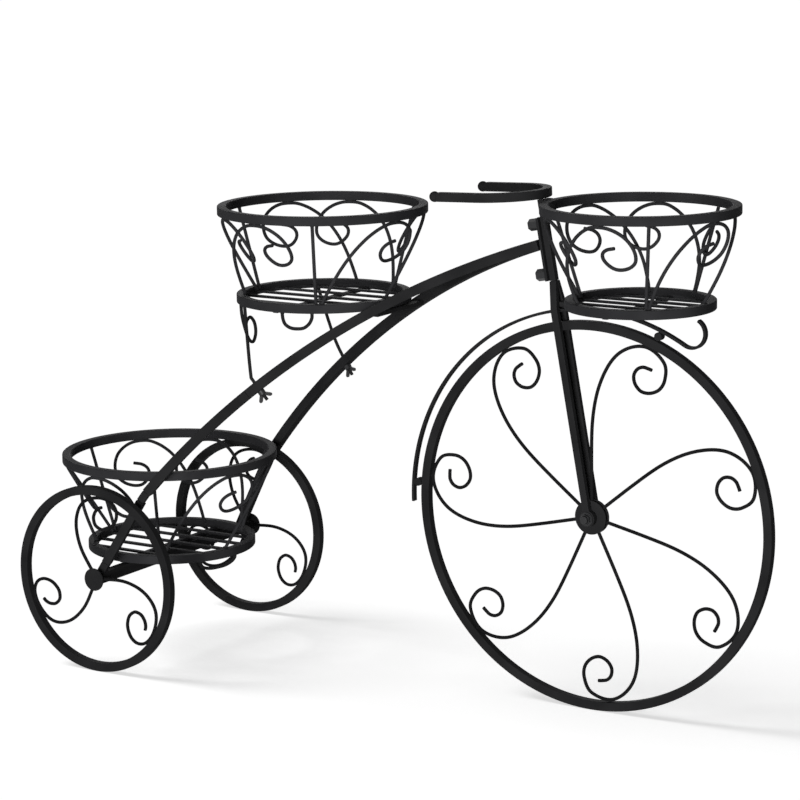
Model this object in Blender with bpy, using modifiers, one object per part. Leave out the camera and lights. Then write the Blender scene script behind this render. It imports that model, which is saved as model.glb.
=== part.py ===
"""A planter stand in the shape of an old three-wheeled bicycle, with three wire baskets.

Metres, +Z up, the front wheel towards +X. The stand's left side is +Y.
The front wheel's contact with the floor is the origin that the places below are measured from.
"""

import math

import bmesh
import bpy
from mathutils import Matrix, Vector

# Stock and running fits
BAR = 0.0095  # square bar of the rings, the rims, the handlebar and the rear arms
WIRE = 0.0037  # round wire of the scrolls and rods
WIRE_R = WIRE / 2
GAP = 0.0003  # between pieces that touch
SINK = 0.0006  # how far a welded wire or bar sinks into what it is joined to
OVERRUN = 0.002  # how far a cutter runs past the piece that it cuts
WELD_DISTANCE = 0.00001

# Wheels
FRONT_RIM_R = 0.205
REAR_RIM_R = 0.1035
WHEELBASE = 0.5375
FRONT_RIM_STEPS = 72
REAR_RIM_STEPS = 48
FRONT_SPOKES = 7
REAR_SPOKES = 3
FRONT_SPOKE_START = 17.7
REAR_SPOKE_START = 86.1

# Radius as a share of the place where the spoke lies against the rim, and turn in degrees
FRONT_SPOKE_SHARES = (
    (0.307, 21.3), (0.531, 20.3), (0.735, 16.8), (0.908, 10.9), (0.997, 2.6), (0.971, -5.2),
    (0.894, -8.1), (0.829, -8.0), (0.783, -5.4), (0.766, -1.7), (0.786, 1.6), (0.825, 3.2),
    (0.865, 2.7), (0.89, 1.0), (0.897, -1.1), (0.899, -2.6),
)
REAR_SPOKE_SHARES = (
    (0.329, 37.5), (0.561, 32.4), (0.769, 24.7), (0.924, 14.6), (0.992, 1.2), (0.992, -10.1),
    (0.916, -17.0), (0.796, -18.9), (0.68, -15.1), (0.62, -6.1), (0.649, 2.7), (0.732, 5.2),
    (0.81, 3.3), (0.864, -0.1), (0.888, -3.4),
)

# Front hub, axle and fork
AXLE_R = 0.004
HUB_PLAY = 0.0003
HUB_CORE_R = 0.0085
HUB_SLEEVE_R = 0.0075
HUB_DISC_R = 0.018
HUB_DISC = 0.0022
HUB_STEPS = 24
FORK_RAKE = math.radians(10)
HUB_STEP = 0.0004  # from a disc's outer face to the end of the sleeve
RIM_SIDE_CLEAR = 0.0012
LEG_THICK = 0.0055
LEG_DEPTH = 0.0074
LEG_EYE_R = 0.0085
LEG_CLOSING = 0.0236  # length over which the legs close in, above the fender
LEG_MERGE = 0.0054  # length along which they lie side by side
AXLE_HEAD_R = 0.0056
AXLE_HEAD = 0.0038
AXLE_WASHER_R = 0.0072
AXLE_WASHER = 0.0012
AXLE_TAIL = 0.002  # thread past the nut

# Head of the frame
HEAD_DEPTH = 0.0064
HEAD_WIDTH = 0.0075
PLATE_HALF = 0.0085
PLATE_THICK = 0.0027
PLATE_RAISE = 0.0008  # from the top of the fork legs up to the plate
PLATE_DOWN = 0.0181  # from the top of the head bar down to the plate
UPPER_BOLT_DOWN = 0.0068  # from the plate's top
LOWER_BOLT_UP = 0.0067  # from the plate's foot
BOLT_R = 0.002
BOLT_HEAD_R = 0.0064
BOLT_HEAD = 0.0105
BOLT_COLLAR_R = 0.0072
BOLT_COLLAR = 0.0012
BOLT_BITE = 0.0045  # depth of the screw in the head bar

# Handlebar
HANDLE_SINK = 0.0005  # from the top of the front basket down to the handlebar
HANDLE_FALL = 0.033  # of its length, from the bend down towards the knobs
HANDLE_HALF = 0.0485
HANDLE_LONG = 0.0941  # from the head back to the knobs
HANDLE_KNOB_R = 0.0056
HANDLE_KNOB_FLAT_SHARE = 0.72
HANDLE_TURNS = 14

# Fender
FENDER_CLEAR = 0.0097
FENDER_THICK = 0.003
FENDER_WIDE = 0.0065
FENDER_BACK = 181.9
FENDER_FRONT = 60.5
FENDER_STEP = 4.5
FENDER_CURL_R = 0.0152
SPACER_R = 0.0043
SPACER_LONG = 0.008
SPACER_ANGLES = (176.0, 68.3)
BRIDGE_THICK = 0.0047
BRIDGE_REACH = 0.022  # behind the back of the front basket's bottom ring
BRIDGE_LAP = 0.006  # how far the bridge reaches under the front basket

# Rear frame
ARCH_BAR = 0.0105  # heavier square bar of the two arches
ARCH_APART = 0.002  # between the two arches where they start
ARCH_END_GAP = 0.0002356  # from the head plate to the nearest corner of its skew end
ARCH_BELOW_BOLT = 0.0224
KNEE_AHEAD = 0.0495  # of the rear axle
KNEE_RISE = 0.0925  # above the rear axle
KNEE_IN = 0.013  # from the foot of an arm in to its knee
ARCH_RISE = 0.0375
ARCH_SEAM_SHARE = 0.68
ARCH_POINTS = 22
JOINT_BAR = 0.0085
JOINT_LONG = 0.012
SKEW_SHARE = 0.04  # of the bar: extra room where two bars meet at a slight angle
BEAM_TALL = 0.012
BEAM_HALF = 0.138
FOOT_BEHIND = 0.0015  # of the rear axle
FOOT_IN = 0.006  # from the end of the axle beam
FOOT_STUB = 0.011
REAR_AXLE_R = 0.003
REAR_HUB_R = 0.006
REAR_CAP_R = 0.0125
REAR_CAP = 0.0025
REAR_HUB_IN = 0.0055  # from the wheel's plane to the hub's inner end
REAR_HUB_OUT = 0.0035  # from the wheel's plane to the cap
REAR_HUB_PLAY = 0.0004  # from the end of the axle beam to the hub
BRACE_SHARE = 0.369  # of the way from the head to the knee
BRACE_TALL = 0.0045
BRACE_DROP = 0.0012  # from the middle of the arches down to the top of the brace

# Baskets: height, outer radius of each ring, turn in degrees of each rod and scroll foot,
# how far a scroll reaches around the ring, and how far its stem bows back
RING_STEPS = 48
MIDDLE_BASKET = dict(
    tall=0.095, top_r=0.1134, bottom_r=0.0944, rods=(58, 181, 298),
    scrolls=(60.5, 97.5, 184, 216, 301, 352), reach=47, bow=0,
)
FRONT_BASKET = dict(
    tall=0.096, top_r=0.1017, bottom_r=0.0769, rods=(62.5, 182.5, 302.5),
    scrolls=(64.5, 110, 184.5, 231, 304.5, 364.5), reach=41, bow=0.0073,
)
REAR_BASKET = dict(
    tall=0.0997, top_r=0.1207, bottom_r=0.0943, rods=(56, 178, 298),
    scrolls=(59, 100, 181, 220, 300, 350), reach=43.5, bow=0,
)
BASKET_TAB = 0.0067  # between the head bar and the front basket's top ring
MIDDLE_TUCK = 0.001  # how far the middle basket's ring reaches over the middle of the brace
REAR_BASKET_BACK = 0.0041  # from the rear axle back to the basket's axis
ROD_FOOT = 0.004  # from a bottom ring's top down to the foot of its rods
SLAT_WIDE = 0.006
SLAT_THICK = 0.0024
SLAT_DOWN = 0.0052  # from a bottom ring's top down to its slats
SLAT_END = 0.0015
SLAT_SHARES = (-0.667, -0.333, 0.0, 0.333, 0.667)
CROSS_THICK = 0.0034
CROSS_SHARE = 0.985

# A scroll lies flat: how far back from its top as a share of the way to its foot, then ahead
# of its top as a share of its height, each with the height as a share of the way up
SCROLL_STEM_SHARES = (
    (1.0, 0), (0.985, 0.12), (0.94, 0.32), (0.885, 0.47), (0.81, 0.60), (0.71, 0.72),
    (0.575, 0.83), (0.45, 0.90), (0.325, 0.95), (0.17, 0.99),
)
SCROLL_CURL_SHARES = (
    (0, 1.0), (0.10, 0.99), (0.195, 0.95), (0.277, 0.88), (0.326, 0.79), (0.342, 0.69),
    (0.32, 0.60), (0.255, 0.535), (0.168, 0.50), (0.087, 0.50), (0.022, 0.54), (-0.022, 0.61),
    (-0.016, 0.68), (0.038, 0.73), (0.13, 0.755),
)

# Middle basket's legs, wing nuts and hanging scrolls
STUD_SHARE = 0.655
STUD_PLAY = 0.0003
STUD_ROOM = 0.0125  # stud below the bar, with the wing nut on it
LEG_RING_TURN = 232
LEG_BEND = 0.006  # stud above the bar, before the leg bends away
LEG_SHARES = ((0.24, 0.20), (0.48, 0.42), (0.73, 0.66), (0.90, 0.86))
NUT_R = 0.004
NUT_LONG = 0.005
WING_LONG = 0.0115
WING_WIDE = 0.0038
WING_THICK = 0.0022
WING_FLARE = 45
LOOP_DROP = 0.0168
LOOP_TURNS = (274.2, 295.5)
LOOP_SHARES = (
    (0.0, 0.0), (0.02, 0.40), (0.10, 0.75), (0.28, 0.96), (0.5, 1.0),
    (0.72, 0.93), (0.90, 0.65), (0.99, 0.30), (1.0, 0.0),
)
REAR_LOOP_DROP = 0.0105
REAR_LOOP_TURNS = (327, 358)
CURL_TURN = 190
CURL_OUT = 0.086
CURL_DROP = 0.048
CURL_START = 0.028
CURL_SHARES = (
    (0.0, 0.0), (0.01, 0.14), (-0.05, 0.38), (-0.24, 0.68), (-0.50, 0.96), (-0.80, 1.04),
    (-0.98, 0.86), (-0.90, 0.62), (-0.62, 0.46), (-0.36, 0.52), (-0.30, 0.66),
)
CURL_WIDE = 0.036

# Fork, measured along it from the front axle
LEG_INNER = max(BAR / 2 + RIM_SIDE_CLEAR, WIRE_R + GAP + HUB_DISC + HUB_STEP + GAP)
LEG_OUTER = LEG_INNER + LEG_THICK
FRONT_HUB_END = LEG_INNER - GAP
FENDER_IN = FRONT_RIM_R + FENDER_CLEAR
FENDER_OUT = FENDER_IN + FENDER_THICK
LEG_STRAIGHT = FENDER_OUT + GAP
LEG_CLOSED = LEG_STRAIGHT + LEG_CLOSING
LEG_TOP = LEG_CLOSED + LEG_MERGE


def tab_back(bridge_low):
    """The back end of the front basket's tab, for a height of the bridge's underside."""
    rise = bridge_low + BRIDGE_THICK + GAP + FRONT_BASKET["tall"] - FRONT_RIM_R
    return HEAD_DEPTH / 2 / math.cos(FORK_RAKE) - rise * math.tan(FORK_RAKE) + GAP


# The front basket stands on the bridge, whose front end lies on the fender behind its crown
CROWN = FRONT_RIM_R + FENDER_OUT
BRIDGE_FRONT = tab_back(CROWN) + BASKET_TAB + GAP + FRONT_BASKET["top_r"]
BRIDGE_FRONT += BRIDGE_LAP - FRONT_BASKET["bottom_r"]
FENDER_FALL = FENDER_OUT - math.sqrt(max(FENDER_OUT**2 - min(BRIDGE_FRONT, 0) ** 2, 0))
BRIDGE_LOW = CROWN - FENDER_FALL + GAP
BRIDGE_HIGH = BRIDGE_LOW + BRIDGE_THICK
FRONT_BASKET["bottom"] = BRIDGE_HIGH + GAP + BAR
FRONT_BASKET["top"] = FRONT_BASKET["bottom"] + FRONT_BASKET["tall"]
TAB_LOW = FRONT_BASKET["top"] - BAR
TAB_BACK = tab_back(BRIDGE_LOW)
FRONT_BASKET["x"] = TAB_BACK + BASKET_TAB + GAP + FRONT_BASKET["top_r"]

# Head, measured along the fork from the front axle
HANDLE_LOW = FRONT_BASKET["top"] - HANDLE_SINK
HEAD_RISE = HANDLE_LOW - GAP - FRONT_RIM_R - HEAD_DEPTH / 2 * math.sin(FORK_RAKE)
HEAD_TOP = HEAD_RISE / math.cos(FORK_RAKE)
PLATE_LOW = LEG_TOP + PLATE_RAISE
PLATE_HIGH = HEAD_TOP - PLATE_DOWN
BOLT_HIGH = PLATE_HIGH - UPPER_BOLT_DOWN
BOLT_LOW = PLATE_LOW + LOWER_BOLT_UP
ARCH_HEAD = BOLT_HIGH - ARCH_BELOW_BOLT

# Rear axle, its wheels and the basket that stands on its beam
BEAM_HIGH = REAR_RIM_R + BEAM_TALL / 2
REAR_WHEEL_Y = BEAM_HALF + REAR_HUB_PLAY + REAR_HUB_IN
FOOT = Vector((-WHEELBASE - FOOT_BEHIND, BEAM_HALF - FOOT_IN, BEAM_HIGH))
KNEE = Vector((-WHEELBASE + KNEE_AHEAD, FOOT.y - KNEE_IN, REAR_RIM_R + KNEE_RISE))
REAR_BASKET["x"] = -WHEELBASE - REAR_BASKET_BACK
REAR_BASKET["bottom"] = BEAM_HIGH + GAP + CROSS_THICK - SINK + SLAT_THICK + SLAT_DOWN
REAR_BASKET["top"] = REAR_BASKET["bottom"] + REAR_BASKET["tall"]
REAR_BACK_X = min(-WHEELBASE - REAR_RIM_R, REAR_BASKET["x"] - REAR_BASKET["top_r"])
CENTRE_X = -(FRONT_RIM_R + REAR_BACK_X) / 2


def arch_bow(start, share):
    """A place on the left arch that has the given start, its heading and its underside."""
    chord = KNEE - start
    heading = chord.normalized()
    half = chord.length / 2
    radius = (half * half + ARCH_RISE * ARCH_RISE) / (2 * ARCH_RISE)
    spread = math.asin(half / radius)
    flat = Vector((chord.x, chord.y, 0)).normalized()
    rise = (Vector((0, 0, 1)) - heading * heading.z).normalized()
    centre = (start + KNEE) / 2 - rise * (radius - ARCH_RISE)
    angle = spread * (2 * share - 1)
    point = centre + heading * radius * math.sin(angle) + rise * radius * math.cos(angle)
    along = heading * math.cos(angle) - rise * math.sin(angle)
    normal = along.cross(flat.cross(Vector((0, 0, 1)))).normalized()
    if normal.z > 0:
        normal = -normal
    return point, along, normal


def arch_start():
    """The middle of the left arch's end, whose nearest corner clears the head plate."""
    off_plate = HEAD_DEPTH / 2 + GAP + PLATE_THICK
    x = -ARCH_HEAD * math.sin(FORK_RAKE) - off_plate / math.cos(FORK_RAKE)
    start = Vector((x, (ARCH_BAR + ARCH_APART) / 2, FRONT_RIM_R + ARCH_HEAD * math.cos(FORK_RAKE)))
    away = Vector((-math.cos(FORK_RAKE), 0, -math.sin(FORK_RAKE)))
    along, normal = arch_bow(start, 0)[1:]
    skew = abs(normal.dot(away)) + abs(along.cross(normal).dot(away))
    start.x -= (skew * ARCH_BAR / 2 + ARCH_END_GAP) / math.cos(FORK_RAKE)
    return start


ARCH_START = arch_start()


def arch_point(share, sign=1):
    """A place on a rear arch, from the head at 0 to the knee at 1, its heading and its underside."""
    flip = Vector((1, sign, 1))
    point, along, normal = arch_bow(ARCH_START, share)
    return point * flip, along * flip, normal * flip


# The middle basket stands on the brace between the arches
BRACE = arch_point(BRACE_SHARE)[0]
BRACE_HIGH = BRACE.z - BRACE_DROP
MIDDLE_BASKET["x"] = BRACE.x - MIDDLE_BASKET["bottom_r"] + MIDDLE_TUCK
MIDDLE_BASKET["bottom"] = BRACE_HIGH + GAP + BAR
MIDDLE_BASKET["top"] = MIDDLE_BASKET["bottom"] + MIDDLE_BASKET["tall"]


def clear_scene():
    for item in list(bpy.data.objects):
        bpy.data.objects.remove(item, do_unlink=True)


def make_collection(name):
    collection = bpy.data.collections.new(name)
    bpy.context.scene.collection.children.link(collection)
    return collection


def make_material(name, colour, roughness, metallic):
    material = bpy.data.materials.new(name)
    material.use_nodes = True
    shader = material.node_tree.nodes["Principled BSDF"]
    shader.inputs["Base Color"].default_value = (*colour, 1.0)
    shader.inputs["Roughness"].default_value = roughness
    shader.inputs["Metallic"].default_value = metallic
    material.diffuse_color = (*colour, 1.0)
    return material


clear_scene()
PARTS = make_collection("bicycle_planter")
TOOLS = make_collection("cutters")


def make_empty(name, place, turn=None, parent=None):
    empty = bpy.data.objects.new(name, None)
    PARTS.objects.link(empty)
    empty.parent = parent
    empty.matrix_basis = Matrix.Translation(place) @ (turn or Matrix())
    return empty


UPRIGHT = Matrix.Rotation(math.radians(90), 4, "X")  # local X and Y become X and Z
STAND = make_empty("stand", (CENTRE_X, 0, 0))
FRONT_AXIS = make_empty("front_wheel_axis", (0, 0, FRONT_RIM_R), UPRIGHT, STAND)
FORK = make_empty("fork_frame", (0, 0, FRONT_RIM_R), Matrix.Rotation(-FORK_RAKE, 4, "Y"), STAND)


def add_piece(name, data, parent=STAND, matrix=None, tool=False):
    piece = bpy.data.objects.new(name, data)
    (TOOLS if tool else PARTS).objects.link(piece)
    piece.parent = parent
    piece.matrix_basis = matrix or Matrix()
    if tool:
        piece.hide_render = True
        piece.display_type = "WIRE"
    return piece


def finish_mesh(mesh):
    mesh.shade_smooth()
    mesh.set_sharp_from_angle(angle=math.radians(40))


def as_mesh(piece):
    """The same piece as a closed mesh, with the caps of a curve welded on."""
    depsgraph = bpy.context.evaluated_depsgraph_get()
    mesh = bpy.data.meshes.new_from_object(piece.evaluated_get(depsgraph), depsgraph=depsgraph)
    shape = bmesh.new()
    shape.from_mesh(mesh)
    bmesh.ops.remove_doubles(shape, verts=shape.verts, dist=WELD_DISTANCE)
    bmesh.ops.recalc_face_normals(shape, faces=shape.faces)
    shape.to_mesh(mesh)
    shape.free()
    finish_mesh(mesh)
    name = piece.name
    holder = piece.users_collection[0]
    solid = bpy.data.objects.new(name, mesh)
    holder.objects.link(solid)
    solid.parent = piece.parent
    solid.matrix_basis = piece.matrix_basis.copy()
    solid.hide_render = piece.hide_render
    solid.display_type = piece.display_type
    bpy.data.objects.remove(piece, do_unlink=True)
    solid.name = name
    mesh.name = name
    return solid


def join_tool(piece, tool, operation):
    modifier = piece.modifiers.new(f"{operation.lower()}_{tool.name}", "BOOLEAN")
    modifier.operation = operation
    modifier.solver = "EXACT"
    modifier.object = tool


def gather(name, pieces, parent):
    """One hidden mesh that holds several closed shapes, for one Boolean."""
    shape = bmesh.new()
    for piece in pieces:
        part = piece.data.copy()
        part.transform(piece.matrix_basis)
        shape.from_mesh(part)
        bpy.data.meshes.remove(part)
        bpy.data.objects.remove(piece, do_unlink=True)
    mesh = bpy.data.meshes.new(name)
    shape.to_mesh(mesh)
    shape.free()
    finish_mesh(mesh)
    return add_piece(name, mesh, parent, tool=True)


def box(name, low, high, parent=STAND, matrix=None, tool=False):
    """A box between two corners."""
    low, high = Vector(low), Vector(high)
    shape = bmesh.new()
    bmesh.ops.create_cube(shape, size=1)
    bmesh.ops.scale(shape, vec=high - low, verts=shape.verts)
    bmesh.ops.translate(shape, vec=(low + high) / 2, verts=shape.verts)
    mesh = bpy.data.meshes.new(name)
    shape.to_mesh(mesh)
    shape.free()
    return add_piece(name, mesh, parent, matrix, tool)


def cylinder(name, radius, low, high, parent=STAND, matrix=None, tool=False, sides=24):
    """A cylinder along its own Z, between two heights."""
    shape = bmesh.new()
    bmesh.ops.create_cone(
        shape, cap_ends=True, segments=sides, radius1=radius, radius2=radius, depth=high - low
    )
    bmesh.ops.translate(shape, vec=(0, 0, (low + high) / 2), verts=shape.verts)
    mesh = bpy.data.meshes.new(name)
    shape.to_mesh(mesh)
    shape.free()
    finish_mesh(mesh)
    return add_piece(name, mesh, parent, matrix, tool)


def turned(name, profile, steps, closed, parent=STAND, matrix=None, tool=False):
    """A profile of (radius, height) turned about Z, with a flat facet at each quarter turn."""
    half_step = math.pi / steps
    mesh = bpy.data.meshes.new(name)
    points = []
    for radius, height in profile:
        reach = radius / math.cos(half_step)
        points.append((reach * math.cos(half_step), reach * math.sin(half_step), height))
    edges = [(i, i + 1) for i in range(len(points) - 1)]
    if closed:
        edges.append((len(points) - 1, 0))
    mesh.from_pydata(points, edges, [])
    piece = add_piece(name, mesh, parent, matrix, tool)
    screw = piece.modifiers.new("turn", "SCREW")
    screw.steps = steps
    screw.render_steps = steps
    screw.use_merge_vertices = True
    screw.merge_threshold = WELD_DISTANCE
    screw.use_smooth_shade = True
    return as_mesh(piece)


def square_ring(name, radius, low, high, steps, parent=STAND, matrix=None):
    inner = radius - BAR
    profile = ((radius, high), (radius, low), (inner, low), (inner, high))
    return turned(name, profile, steps, True, parent, matrix)


def smooth_route(points, parts=8):
    """A smooth curve through the given points, as close points."""
    points = [Vector(point) for point in points]
    ends = [2 * points[0] - points[1], *points, 2 * points[-1] - points[-2]]
    route = []
    for i in range(1, len(ends) - 2):
        before, start, end, after = ends[i - 1:i + 3]
        for step in range(parts):
            t = step / parts
            route.append(
                0.5 * (
                    2 * start
                    + (end - before) * t
                    + (2 * before - 5 * start + 4 * end - after) * t * t
                    + (3 * start - before - 3 * end + after) * t * t * t
                )
            )
    route.append(points[-1])
    return route


def thin_out(route, turn=29.0, keep=0):
    """Fewer points where the route runs straight: one for every so many degrees, and one to keep."""
    kept = [route[0]]
    turned_by = 0.0
    for i, (before, point, after) in enumerate(zip(route, route[1:], route[2:]), 1):
        turned_by += math.degrees((point - before).angle(after - point, 0.0))
        if turned_by >= turn or i == keep:
            kept.append(point)
            turned_by = 0.0
    kept.append(route[-1])
    return kept


def strand(name, points, radius, resolution=1, tilt=0.0, parent=STAND, matrix=None, tool=False):
    """A wire or a square bar along a route."""
    curve = bpy.data.curves.new(name, "CURVE")
    curve.dimensions = "3D"
    curve.twist_mode = "Z_UP" if tilt else "MINIMUM"
    curve.bevel_depth = radius
    curve.bevel_resolution = resolution
    curve.use_fill_caps = True
    spline = curve.splines.new("POLY")
    spline.points.add(len(points) - 1)
    for place, point in zip(spline.points, points):
        place.co = (*point, 1.0)
        place.tilt = tilt
    return add_piece(name, curve, parent, matrix, tool)


def square_strand(name, points, side, parent=STAND, matrix=None, tool=False):
    return strand(name, points, side / math.sqrt(2), 0, math.pi / 4, parent, matrix, tool)


def plate(name, outlines, thickness, parent=STAND, matrix=None, tool=False):
    """A flat outline, with any holes, thickened about its own plane."""
    curve = bpy.data.curves.new(name, "CURVE")
    curve.dimensions = "2D"
    curve.fill_mode = "BOTH"
    curve.extrude = thickness / 2
    for outline in outlines:
        spline = curve.splines.new("POLY")
        spline.points.add(len(outline) - 1)
        spline.use_cyclic_u = True
        for place, point in zip(spline.points, outline):
            place.co = (point[0], point[1], 0.0, 1.0)
    return add_piece(name, curve, parent, matrix, tool)


def bar_between(name, start, end, side, parent=STAND, tool=False):
    """A straight square bar between two points, with one pair of sides upright."""
    start, end = Vector(start), Vector(end)
    along = (end - start).normalized()
    across = along.cross(Vector((0, 0, 1))).normalized()
    up = across.cross(along)
    matrix = Matrix((across, up, along)).transposed().to_4x4()
    matrix.translation = start
    half = side / 2
    length = (end - start).length
    return box(name, (-half, -half, 0), (half, half, length), parent, matrix, tool)


def along_axis(direction, place=(0, 0, 0)):
    """A matrix that points a piece's own Z along a direction."""
    matrix = Vector(direction).to_track_quat("Z", "Y").to_matrix().to_4x4()
    matrix.translation = Vector(place)
    return matrix


def polar(radius, degrees, height=0.0):
    angle = math.radians(degrees)
    return Vector((radius * math.cos(angle), radius * math.sin(angle), height))


def wheel_spoke(name, axis, core, touch, shares, turn, matrix):
    """A wire from the hub out to the rim, which it lies against before it curls back."""
    start = (core + GAP) / touch
    route = smooth_route([(start, shares[0][1], 0), *((r, a, 0) for r, a in shares)])
    widest = max(range(len(route)), key=lambda i: route[i].x)
    scale = touch / route[widest].x
    points = [polar(share * scale, turn + degrees) for share, degrees, _ in route]
    return strand(name, thin_out(points, keep=widest), WIRE_R, 2, 0.0, axis, matrix)


def bolt(name, head_r, head, collar_r, collar, shank_r, shank, parent, matrix):
    """A hexagon head and its collar on a round shank that runs down its own -Z."""
    body = cylinder(name, head_r, collar - SINK, collar + head, parent, matrix, sides=6)
    ring = cylinder(f"{name}_collar", collar_r, 0, collar, parent, matrix, tool=True)
    stem = cylinder(f"{name}_shank", shank_r, -shank, SINK, parent, matrix, tool=True, sides=16)
    join_tool(body, ring, "UNION")
    join_tool(body, stem, "UNION")
    return body


def build_front_wheel():
    square_ring("front_rim", FRONT_RIM_R, -BAR / 2, BAR / 2, FRONT_RIM_STEPS, FRONT_AXIS)
    disc_in = WIRE_R + GAP
    disc_out = disc_in + HUB_DISC
    bore = AXLE_R + HUB_PLAY
    profile = (
        (HUB_SLEEVE_R, FRONT_HUB_END), (HUB_SLEEVE_R, disc_out), (HUB_DISC_R, disc_out),
        (HUB_DISC_R, disc_in), (HUB_CORE_R, disc_in), (HUB_CORE_R, -disc_in),
        (HUB_DISC_R, -disc_in), (HUB_DISC_R, -disc_out), (HUB_SLEEVE_R, -disc_out),
        (HUB_SLEEVE_R, -FRONT_HUB_END), (bore, -FRONT_HUB_END), (bore, FRONT_HUB_END),
    )
    turned("front_hub", profile, HUB_STEPS, True, FRONT_AXIS)
    touch = FRONT_RIM_R - BAR - WIRE_R - GAP
    for i in range(FRONT_SPOKES):
        turn = FRONT_SPOKE_START + i * 360 / FRONT_SPOKES
        wheel_spoke(
            f"front_spoke_{i + 1}", FRONT_AXIS, HUB_CORE_R, touch, FRONT_SPOKE_SHARES, turn, None
        )


def build_rear_wheel(side, sign):
    """A rear wheel with its cap on the outside; sign is -1 on the right."""
    place = (-WHEELBASE, sign * REAR_WHEEL_Y, REAR_RIM_R)
    axis = make_empty(f"rear_wheel_axis_{side}", place, UPRIGHT, STAND)
    square_ring(f"rear_rim_{side}", REAR_RIM_R, -BAR / 2, BAR / 2, REAR_RIM_STEPS, axis)
    bore = REAR_AXLE_R + HUB_PLAY
    cap_top = REAR_HUB_OUT + REAR_CAP
    profile = (
        (0, cap_top), (REAR_CAP_R, cap_top), (REAR_CAP_R, REAR_HUB_OUT),
        (REAR_HUB_R, REAR_HUB_OUT), (REAR_HUB_R, -REAR_HUB_IN), (bore, -REAR_HUB_IN),
        (bore, REAR_HUB_OUT), (0, REAR_HUB_OUT),
    )
    outward = Matrix() if sign < 0 else Matrix.Rotation(math.pi, 4, "X")
    turned(f"rear_hub_{side}", profile, HUB_STEPS, False, axis, outward)
    touch = REAR_RIM_R - BAR - WIRE_R - GAP
    for i in range(REAR_SPOKES):
        turn = REAR_SPOKE_START + i * 360 / REAR_SPOKES
        wheel_spoke(
            f"rear_spoke_{side}_{i + 1}", axis, REAR_HUB_R, touch, REAR_SPOKE_SHARES, turn, None
        )


def leg_inner_at(distance):
    """Half the space between the fork legs at a distance from the axle."""
    if distance <= LEG_STRAIGHT:
        return LEG_INNER
    share = min((distance - LEG_STRAIGHT) / (LEG_CLOSED - LEG_STRAIGHT), 1.0)
    return LEG_INNER + share * (GAP / 2 - LEG_INNER)


def build_fork():
    leg_plane = Matrix(((0, 0, 1, 0), (1, 0, 0, 0), (0, 1, 0, 0), (0, 0, 0, 1)))
    top_outer = LEG_OUTER + (LEG_TOP - LEG_STRAIGHT) / (LEG_CLOSED - LEG_STRAIGHT) * (
        GAP / 2 - LEG_INNER
    )
    across = Matrix.Rotation(math.radians(90), 4, "X")
    hole = cylinder(
        "axle_hole", AXLE_R + GAP, -LEG_OUTER - OVERRUN, LEG_OUTER + OVERRUN, FORK, across, True
    )
    for side, sign in (("left", 1), ("right", -1)):
        outline = [
            (LEG_INNER, 0), (LEG_OUTER, 0), (LEG_OUTER, LEG_STRAIGHT), (top_outer, LEG_TOP),
            (GAP / 2, LEG_TOP), (GAP / 2, LEG_CLOSED), (LEG_INNER, LEG_STRAIGHT),
        ]
        outline = [(sign * y, along) for y, along in outline]
        leg = as_mesh(plate(f"fork_leg_{side}", [outline], LEG_DEPTH, FORK, leg_plane))
        near, far = sorted((-sign * LEG_INNER, -sign * LEG_OUTER))
        eye = cylinder(f"fork_eye_{side}", LEG_EYE_R, near, far, FORK, across, True)
        join_tool(leg, eye, "UNION")
        join_tool(leg, hole, "DIFFERENCE")
    nut = AXLE_WASHER + AXLE_HEAD
    shank = 2 * (LEG_OUTER + GAP) + nut + AXLE_TAIL
    bolt(
        "axle_bolt", AXLE_HEAD_R, AXLE_HEAD, AXLE_WASHER_R, AXLE_WASHER, AXLE_R, shank, FORK,
        along_axis((0, 1, 0), (0, LEG_OUTER + GAP, 0)),
    )
    outside = along_axis((0, -1, 0), (0, -LEG_OUTER - GAP, 0))
    body = cylinder("axle_nut", AXLE_HEAD_R, AXLE_WASHER - SINK, nut, FORK, outside, sides=6)
    ring = cylinder("axle_nut_washer", AXLE_WASHER_R, 0, AXLE_WASHER, FORK, outside, True)
    bore = cylinder("axle_nut_bore", AXLE_R + GAP, -OVERRUN, nut + OVERRUN, FORK, outside, True)
    join_tool(body, ring, "UNION")
    join_tool(body, bore, "DIFFERENCE")


def build_head():
    half = HEAD_DEPTH / 2
    head = box(
        "head_bar", (-half, -HEAD_WIDTH / 2, LEG_TOP + GAP), (half, HEAD_WIDTH / 2, HEAD_TOP), FORK
    )
    front = -half - GAP
    back = front - PLATE_THICK
    flat = box("head_plate", (back, -PLATE_HALF, PLATE_LOW), (front, PLATE_HALF, PLATE_HIGH), FORK)
    for name, height in (("head_bolt_upper", BOLT_HIGH), ("head_bolt_lower", BOLT_LOW)):
        place = along_axis((-1, 0, 0), (back - GAP, 0, height))
        shank = GAP + PLATE_THICK + GAP + BOLT_BITE
        bolt(name, BOLT_HEAD_R, BOLT_HEAD, BOLT_COLLAR_R, BOLT_COLLAR, BOLT_R, shank, FORK, place)
        room = cylinder(
            f"{name}_room", BOLT_R + GAP, -shank - GAP, OVERRUN, FORK, place, True, sides=16
        )
        join_tool(head, room, "DIFFERENCE")
        join_tool(flat, room, "DIFFERENCE")
    tab_half = HEAD_WIDTH / 2
    box(
        "front_basket_tab", (TAB_BACK, -tab_half, TAB_LOW),
        (TAB_BACK + BASKET_TAB, tab_half, FRONT_BASKET["top"]),
    )


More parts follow.
